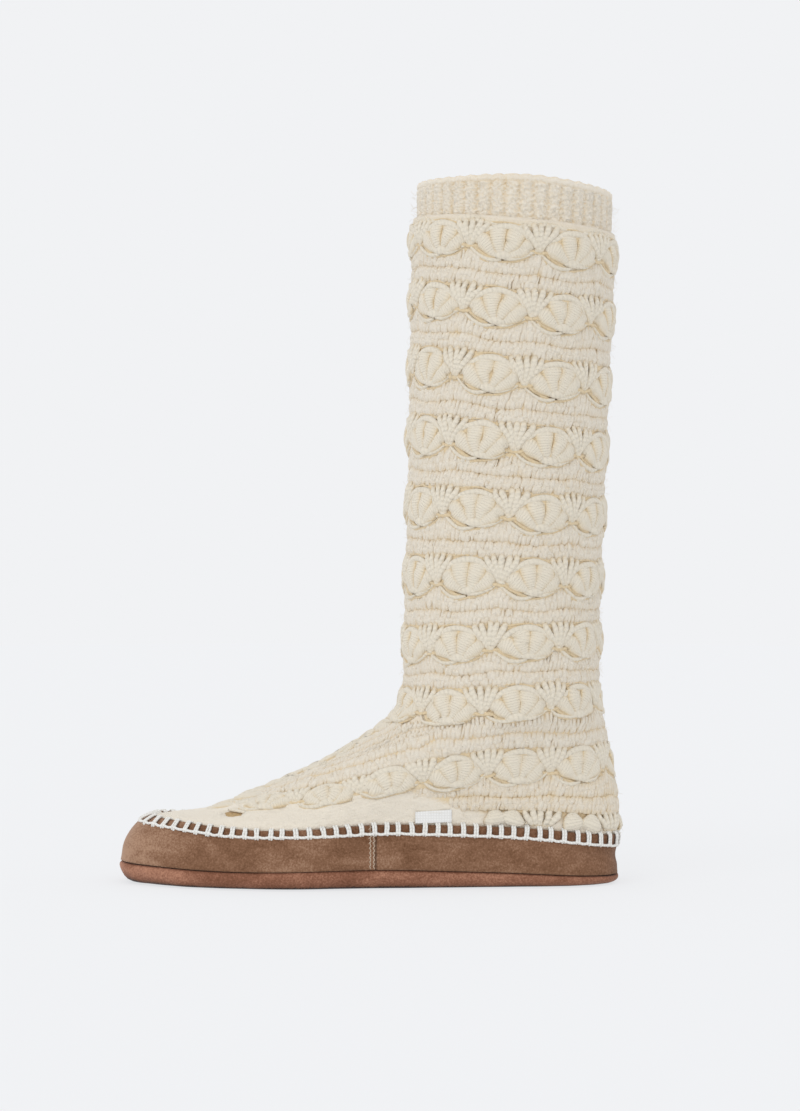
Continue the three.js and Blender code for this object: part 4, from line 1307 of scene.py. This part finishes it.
def makeCuff():
    columns = cuff["columns"]
    share = np.arange(columns)[None] / columns
    profile = cuffProfile()
    row, out, relief = [np.array(column)[:, None] for column in zip(*profile)]
    rib = np.cos(fullTurn * cuff["ribs"] * share)
    rib = np.sign(rib) * np.abs(rib) ** cuff["ribEdge"]
    stitch = share * cuff["ribs"] * 2 + 0.5
    across = stitch - np.round(stitch)
    height = (row - cuff["start"]) * cuff["rowHeight"]
    wobble = np.zeros((len(profile), columns))
    number = cuff["wobbles"]
    waves = zip(rng.integers(*cuff["wobbleTurns"], number), rng.uniform(*cuff["wobbleRise"], number),
                rng.uniform(*cuff["wobbleShift"], number))
    for turns, rise, shift in waves:
        wobble += cuff["wobble"] * np.sin(share * fullTurn * turns + height * rise + shift)
    leg = np.cos(fullTurn * (height / cuff["course"] - cuff["slope"] * np.abs(across) + wobble))
    valley = 0.5 - (2 * across) ** 2
    stitches = cuff["legShare"] * leg + cuff["valleyShare"] * valley
    bulge = cuff["ribHeight"] * (rib + cuff["wobbleShare"] * wobble) + cuff["stitchHeight"] * stitches
    ease = cuff["ease"] * np.sin(share * fullTurn * cuff["easeTurns"] + cuff["easeShift"])
    ease = ease * smoothStep(*cuff["easeRows"], row)
    surface = out + relief * bulge + ease
    level, perRib, perWobble, perWave = cuff["dip"]
    dip = level + perRib * rib + perWobble * wobble[:1]
    dip = dip + perWave * np.sin(share * fullTurn * cuff["dipTurns"])
    points = wallAt(share, row + dip * smoothStep(*cuff["dipRows"], row), surface)[0]
    # the tone follows the surface's height: painted shade in the rib valleys
    depth = np.where(relief > cuff["leastRelief"], surface, cuff["insideTone"])
    part = {"points": points.reshape(-1, 3), "depth": depth.ravel(),
            "quads": gridQuads(len(profile), columns, closeRows=True, closeColumns=True)}
    edge = [sweepYarn(cuffLip(layer), *cuffEdge["detail"]) for layer in range(len(cuffEdge["layers"]))]
    buildPiece("ribbed_cuff", [part], woolRib)
    buildPiece("cuff_edge", edge, woolStrand)


makeCuff()


# Suede band
band = {
    # row and thickness in mm, from the sole up
    "section": [(-0.70, 2.4), (-0.55, 2.9), (-0.35, 2.6), (-0.155, 2.35), (-0.130, 1.5), (0.00, 1.4)],
    "rows": [(-0.70, -0.18, 16), (-0.165, -0.095, 8), (-0.08, -0.02, 4), (-0.006, -0.006, 1)],
    "seamX": 3.6, "seamGap": 0.15, "seamEase": 0.35, "seamReach": 0.004, "columns": 300,
    "stitches": 86, "stitchRow": -0.08,
    # the strip under the stitches puckers, and the leather below it a little
    "stripRows": (-0.135, -0.10), "pucker": 0.45, "puckerRows": (-0.42, -0.2), "lowPucker": 0.25,
    # how round it swells between two stitches, and the swell that counts as none, on the strip and below
    "swellCurve": 0.8, "stripRest": 0.55, "lowRest": 0.6,
    # soft dents pressed by hand into the outer side: x, row, radius in mm, depth in mm
    "dents": [(43, -0.36, 7, 0.9), (66, -0.24, 8, 0.7), (112, -0.45, 9, 1.0), (88, -0.5, 10, 0.5),
              (-40, -0.45, 16, 0.4), (-90, -0.35, 14, 0.5)],
    "dentRowHeight": 36.0, "dentFlat": 0.55,
    # mm of slow waves, their number round the ring and rate up the rows, each with its slant
    "waves": 0.18, "waveAround": (19, 5), "waveUp": (17, 40), "waveRows": (-0.7, -0.5),
    "rimStep": 0.006, "rimOut": 0.7,
    # tones: paler at the toe, darker behind and along the stitches, and painted shade under them
    "toeX": (-96, -128), "toeTone": 0.95, "heelX": (-30, 30), "heelTone": -0.18,
    "stripTone": -0.08, "edgeRows": (-0.3, -0.17), "underStitchShade": -0.1,
}


def stripShare(row):
    return smoothStep(*band["stripRows"], row)


def bandOut(share, row):
    # mm by which the band's outer face stands out of the wall
    thick = np.interp(row, *zip(*band["section"]))
    point = wallAt(share, row)[0]
    turn = (share + slant(share, band["stitchRow"]) * (row - band["stitchRow"])) * band["stitches"]
    squeeze = np.abs(np.sin(math.pi * turn)) ** band["swellCurve"]
    leather = 1 - stripShare(row)
    thick = thick + stripShare(row) * band["pucker"] * (squeeze - band["stripRest"])
    low = band["lowPucker"] * smoothStep(*band["puckerRows"], row) * leather
    thick = thick + low * (squeeze - band["lowRest"])
    for x, level, radius, deep in band["dents"]:
        rise = (row - level) * band["dentRowHeight"] / (radius * band["dentFlat"])
        thick = thick - deep * np.exp(-((point[..., 0] - x) / radius) ** 2 - rise ** 2) * (point[..., 1] < 0)
    turns, slope = band["waveAround"]
    waves = band["waves"] * np.sin(share * fullTurn * turns + slope * row)
    rate, slope = band["waveUp"]
    waves = waves * np.sin(row * rate + share * slope)
    return last["seatGap"] + thick + waves * smoothStep(*band["waveRows"], row) * leather


def makeBand(name, replaced, isFront):
    rows = np.concatenate([np.linspace(*stretch) for stretch in band["rows"]])
    x = band["seamX"] - (band["seamGap"] if isFront else -band["seamGap"])
    outerSeam, innerSeam = shareAtX(x, rows), shareAtX(x, rows, inner=True)
    start, end = (innerSeam - 1, outerSeam) if isFront else (outerSeam, innerSeam)
    t = np.linspace(0, 1, band["columns"])[None]
    share = start[:, None] + (end - start)[:, None] * t
    level = rows[:, None] + 0 * t
    free = smoothStep(0, band["seamReach"], np.minimum(t, 1 - t))
    out = bandOut(share, level) - band["seamEase"] * (1 - free)
    outside = wallAt(share, level, out)[0]
    inside = wallAt(share, level, last["seatGap"])[0]
    top = wallAt(share[-1:], level[-1:] + band["rimStep"], last["seatGap"] + band["rimOut"])[0]
    rings = np.concatenate([outside, top, inside[::-1]])
    count, columns = rings.shape[:2]
    # close both ends, pairing the outside with the inside
    half = len(rows)
    a = np.arange(half - 1)
    cap = np.stack([a, a + 1, count - 2 - a, count - 1 - a], axis=-1) * columns
    lid = np.array([[half - 1, half, half + 1]]) * columns
    quads = [gridQuads(count, columns, closeRows=True), cap[:, ::-1], cap + columns - 1]
    tris = np.concatenate([lid[:, ::-1], lid + columns - 1])
    shade = 1.0 + band["stripTone"] * stripShare(level)
    # painted shade under the stitches
    shade = shade + band["underStitchShade"] * smoothStep(*band["edgeRows"], level)
    x = outside[..., 0]
    ends = band["toeTone"] * smoothStep(*band["toeX"], x) + band["heelTone"] * smoothStep(*band["heelX"], x)
    depth = np.concatenate([shade + ends, shade[-1:], shade[::-1]])
    part = {"points": rings.reshape(-1, 3), "quads": np.concatenate(quads), "tris": tris,
            "depth": depth.ravel()}
    buildPiece(name, [part], bandSuede, replaced)


makeBand("suede_band_front", "band_front", True)
makeBand("suede_band_back", "band_back", False)


# Blanket stitch along the band's edge
blanket = {
    "twin": 0.62,               # mm from the middle of a stitch to each of its two cords
    # up over the edge: row and mm out of the wall
    "rise": [(-0.175, 2.3), (-0.145, 3.2), (-0.10, 2.9), (-0.05, 2.7), (-0.005, 2.6), (0.03, 1.7),
             (0.05, 0.3)],
    "wide": 0.68, "tall": 0.60,
    # hand work: share of a stitch beside its place, lean in mm per row, rows up or down
    "beside": 0.05, "lean": 1.5, "leanRow": -0.1, "riseSlip": 0.003, "runSlip": 0.004,
    # the cord from stitch to stitch: share of the way, row, out, half width
    "run": [(-0.12, -0.135, 2.7, 0.5), (0.12, -0.148, 3.1, 0.70), (0.5, -0.160, 3.0, 0.72),
            (0.88, -0.150, 3.1, 0.70), (1.1, -0.135, 2.6, 0.5)],
    "riseDetail": (11, 6), "runDetail": (10, 6),        # samples and sides
}


def makeBlanketStitch():
    count, middle = band["stitches"], band["stitchRow"]
    place = (np.arange(count) + rng.normal(0, blanket["beside"], count)) / count
    square = slant(place, middle)
    strands = []
    lean = rng.normal(0, blanket["lean"], count)
    for side in (-blanket["twin"], blanket["twin"]):
        rise = []
        for row, out in blanket["rise"]:
            aside = (side + lean * (row - blanket["leanRow"])) / ringLength(middle)
            share = place + aside - square * (row - middle)
            level = row + rng.normal(0, blanket["riseSlip"], count)
            rise.append(strandPoints(share, level, out, blanket["wide"], blanket["tall"]))
        strands.append(sweepYarn(np.stack(rise, axis=1), *blanket["riseDetail"]))
    following = np.roll(place, -1) + (np.arange(count) == count - 1)
    run = []
    for along, row, out, wide in blanket["run"]:
        share = place + (following - place) * along - square * (row - middle)
        run.append(strandPoints(share, row + rng.normal(0, blanket["runSlip"], count), out, wide, wide))
    strands.append(sweepYarn(np.stack(run, axis=1), *blanket["runDetail"]))
    buildPiece("blanket_stitch", strands, cottonCord)


makeBlanketStitch()


# Two rows of stitches down each side seam
seam = {
    "rows": (-0.66, -0.02, 19), "lines": (0.6, 2.5), "sway": 0.35, "swayGain": 50.0,
    "arc": [(-0.02, -0.1), (0.0, 0.15), (0.02, -0.1)],      # rows up and mm out of the band
    "wide": 0.26, "tall": 0.24, "detail": (6, 5),
    "middleRow": -0.3,          # row whose length turns the sway to a share
}


def makeSeamStitches():
    rows = np.linspace(*seam["rows"])
    sway = seam["sway"] * np.where(np.arange(len(rows)) % 2, 1, -1)
    sway = sway / ringLength(seam["middleRow"])
    parts = []
    for inner in (False, True):
        for x in seam["lines"]:
            centre = shareAtX(x, rows, inner)
            stitch = [strandPoints(centre + sway * climb * seam["swayGain"], rows + climb,
                                   bandOut(centre, rows) + lift, seam["wide"], seam["tall"])
                      for climb, lift in seam["arc"]]
            parts.append(sweepYarn(np.stack(stitch, axis=1), *seam["detail"]))
    buildPiece("seam_stitches", parts, seamThread)


makeSeamStitches()


# Outsole and insole
sole = {
    # its edge from below to above: mm inwards, share of the height, share of the toe's lift
    "side": [(24.0, 0.0, 0.0), (16.0, 0.0, 0.0), (9.0, 0.0, 0.15), (6.0, 0.015, 0.35), (3.6, 0.07, 0.65),
             (2.0, 0.19, 0.85), (0.9, 0.36, 1.0), (0.25, 0.54, 0.9), (0.0, 0.72, 0.6), (0.15, 0.85, 0.35),
             (0.6, 0.95, 0.1), (1.4, 1.0, 0.0), (9.0, 1.0, 0.0)],
    "toeLift": 2.2, "toeReach": 0.22, "columns": 360, "angleStep": 0.02,
    # mm of soft waves along the edge, their number and slant, and number and shift of the slower ones
    "soft": 0.22, "softWaves": (23, 4, 9, 1),
    # tone over the height of the edge: lighter half way up, dark at the joint, and at the floor a painted
    # contact shadow
    "tones": [(0.25, 0.3, 0.7), (-0.5, 0.85, 1.0), (-1.9, 0.25, 0.07)],
    "toeTone": 0.3, "toeX": (-70, -125),
}


def soleTop(x):
    ring, height = ringAt(rowLow)
    return height((x - ring["frontX"]) / (ring["backX"] - ring["frontX"])) - last["seatGap"]


def solePoint(angle):
    station = (1 - np.cos(angle)) / 2
    half = np.where(np.sin(angle) >= 0, -soleHalf(0, station), soleHalf(1, station))
    return np.stack([(station - 0.5) * last["soleLength"], half], axis=-1)


def makeOutsole():
    angle = np.arange(sole["columns"]) / sole["columns"] * fullTurn
    along = unit(solePoint(angle + sole["angleStep"]) - solePoint(angle - sole["angleStep"]))
    inward = np.stack([-along[:, 1], along[:, 0]], axis=-1)
    turns, slope, slow, shift = sole["softWaves"]
    rings = []
    for inset, height, share in sole["side"]:
        edge = solePoint(angle) + inward * inset
        station = edge[:, 0] / last["soleLength"] + 0.5
        lift = sole["toeLift"] * np.clip(1 - station / sole["toeReach"], 0, 1) ** 2
        soft = sole["soft"] * np.sin(angle * turns + slope * height)
        soft = soft * np.sin(angle * slow + shift) * (0 < height < 1)
        edge = edge + inward * soft[:, None]
        z = height * soleTop(edge[:, 0]) + share * lift
        rings.append(np.concatenate([edge, z[:, None]], axis=-1))
    rings = np.array(rings)
    heights = np.array(sole["side"])[:, 1:2]
    shade = 1.0 + sole["toeTone"] * smoothStep(*sole["toeX"], rings[..., 0])
    for tone, low, high in sole["tones"]:
        shade = shade + tone * smoothStep(low, high, heights)
    part = closedPad(rings)
    part["depth"] = shade.ravel()
    piece = buildPiece("suede_outsole", [part], soleSuede, "outsole")


makeOutsole()

insole = {
    "columns": 180, "thick": 4.5, "crown": 0.6,
    # rows over the sole at the foot and the side of its edge, mm inwards there and on top
    "rises": (0.05, 0.15), "insets": (0.5, 1.2),
    # share of foot and side in the ring between them, and how high the four rings of the edge lie
    "between": (0.3, 0.7), "climbs": (0.0, 0.35, 0.8, 1.0),
    # rings that close the top, as shares of its width and length
    "top": [(0.94, 0.976), (0.86, 0.944), (0.74, 0.896), (0.58, 0.832), (0.40, 0.76), (0.20, 0.48),
            (0.06, 0.389)],
    # mm; the down is drawn as coarse as it needs to show
    "curlWidth": 2.4, "downWidth": 0.7, "pile": 0.8, "downShare": 0.6,
    "tones": [(0.2, "EDE6D8"), (0.9, "CDBFA6")],
}


def makeFleece():
    # curly pile, off-white, too short to hang
    material, tree, shader = startMaterial("fleece_insole")
    place = addNode(tree, "TexCoord").outputs["Object"]
    curl = addNode(tree, "TexVoronoi", {"Scale": 1 / (insole["curlWidth"] * mm)}, {"Vector": place},
                   feature="SMOOTH_F1").outputs["Distance"]
    down = addNode(tree, "TexNoise", {"Scale": 1 / (insole["downWidth"] * mm), "Detail": 3.0},
                   {"Vector": place}).outputs["Fac"]
    mixed = addNode(tree, "Math", {1: insole["downShare"]}, {0: down, 2: curl},
                    operation="MULTIPLY_ADD").outputs[0]
    ramp = addNode(tree, "ValToRGB", links={"Fac": mixed})
    setRamp(ramp, insole["tones"])
    bump = addNode(tree, "Bump", {"Strength": 0.9, "Distance": insole["pile"] * mm}, {"Height": mixed},
                   invert=True)
    setInputs(tree, shader, {"Roughness": 0.95, "Sheen Weight": 0.3},
              {"Base Color": ramp.outputs["Color"], "Normal": bump.outputs["Normal"]})
    return material


def makeInsole():
    share = np.arange(insole["columns"]) / insole["columns"]
    floor, thick = last["seatGap"], insole["thick"]

    def edge(rise, inset):
        return wallAt(share, rowLow + rise, -last["wall"] - last["seatGap"] - inset)[0]

    def ring(x, y, up):
        return np.stack([x, y, soleTop(x) + floor + up], axis=-1)

    (low, high), (inset, topInset) = insole["rises"], insole["insets"]
    foot, side = edge(low, inset), edge(high, inset)
    between = foot * insole["between"][0] + side * insole["between"][1]
    layers = zip((foot, between, side, edge(high, topInset)), insole["climbs"])
    rings = [ring(points[:, 0], points[:, 1], climb * thick) for points, climb in layers]
    base = rings[-1]
    for width, length in insole["top"]:
        up = thick + insole["crown"] * (1 - width ** 2)
        rings.append(ring(base[:, 0] * length, base[:, 1] * width, up))
    part = closedPad(np.array(rings))
    piece = buildPiece("fleece_insole", [part], makeFleece(), "insole")


makeInsole()


# Side label
label = {
    "left": 23.8, "length": 18.6, "thick": 0.7, "standOff": 1.2, "columns": 40, "rows": 14,
    "foot": 0.02, "height": 0.24, "tilt": 0.035,        # in rows of the wall
    "facing": (0, -0.995, 0.0995),
    # mm by which its edges bend back, and the share of height or length over which they do
    "topEase": 0.35, "topReach": (0.85, 1.0), "sideEase": 0.3, "sideReach": 0.05,
    "wave": 0.25, "waveTurn": (5, 8),
    "ribScale": 4.4,            # mm; a rib is about a third of this, coarser than the weave so that it shows
    "ribHeight": 0.15,
    "tones": [(0.0, "E6E5E2"), (1.0, "F6F6F4")],
}


def makeRibbon():
    # bleached woven ribbon: fine ribs across, a slight silk shine
    material, tree, shader = startMaterial("ribbon_white_woven")
    place = addNode(tree, "TexCoord").outputs["Object"]
    warp, weft = [addNode(tree, "TexWave", {"Scale": 1 / (label["ribScale"] * mm), "Distortion": 0.4},
                          {"Vector": place}, bands_direction=direction).outputs["Fac"]
                  for direction in ("Z", "X")]
    weave = addNode(tree, "Math", links={0: warp, 1: weft}, operation="MULTIPLY").outputs[0]
    ramp = addNode(tree, "ValToRGB", links={"Fac": weave})
    setRamp(ramp, label["tones"])
    bump = addNode(tree, "Bump", {"Strength": 0.5, "Distance": label["ribHeight"] * mm}, {"Height": weave})
    setInputs(tree, shader, {"Roughness": 0.6},
              {"Base Color": ramp.outputs["Color"], "Normal": bump.outputs["Normal"]})
    return material


def labelLayer(out):
    along = np.linspace(0, 1, label["columns"])
    x = label["left"] + along * label["length"]
    side = label["sideEase"] * (1 - smoothStep(0, label["sideReach"], np.minimum(along, 1 - along)))
    lengthwise, upward = label["waveTurn"]
    points = []
    for rise in np.linspace(0, label["height"], label["rows"]):
        row = label["foot"] + rise + label["tilt"] * along
        top = label["topEase"] * smoothStep(*label["topReach"], rise / label["height"])
        push = out - top - side + label["wave"] * np.sin(along * lengthwise + rise * upward)
        points.append(wallAt(shareAtX(x, row), row)[0] + np.array(label["facing"]) * push[:, None])
    return np.concatenate(points)


def makeLabel():
    rows, columns = label["rows"], label["columns"]
    points = np.concatenate([labelLayer(label["standOff"] + label["thick"]), labelLayer(label["standOff"])])
    back = rows * columns
    edge = np.concatenate([np.arange(columns - 1), np.arange(rows - 1) * columns + columns - 1,
                           (rows - 1) * columns + np.arange(columns - 1, 0, -1),
                           np.arange(rows - 1, 0, -1) * columns])
    following = np.roll(edge, -1)
    quads = np.concatenate([gridQuads(rows, columns), gridQuads(rows, columns)[:, ::-1] + back,
                            np.stack([edge, edge + back, following + back, following], axis=-1)])
    buildPiece("side_tab", [{"points": points, "quads": quads}], makeRibbon(), "side_label")


makeLabel()
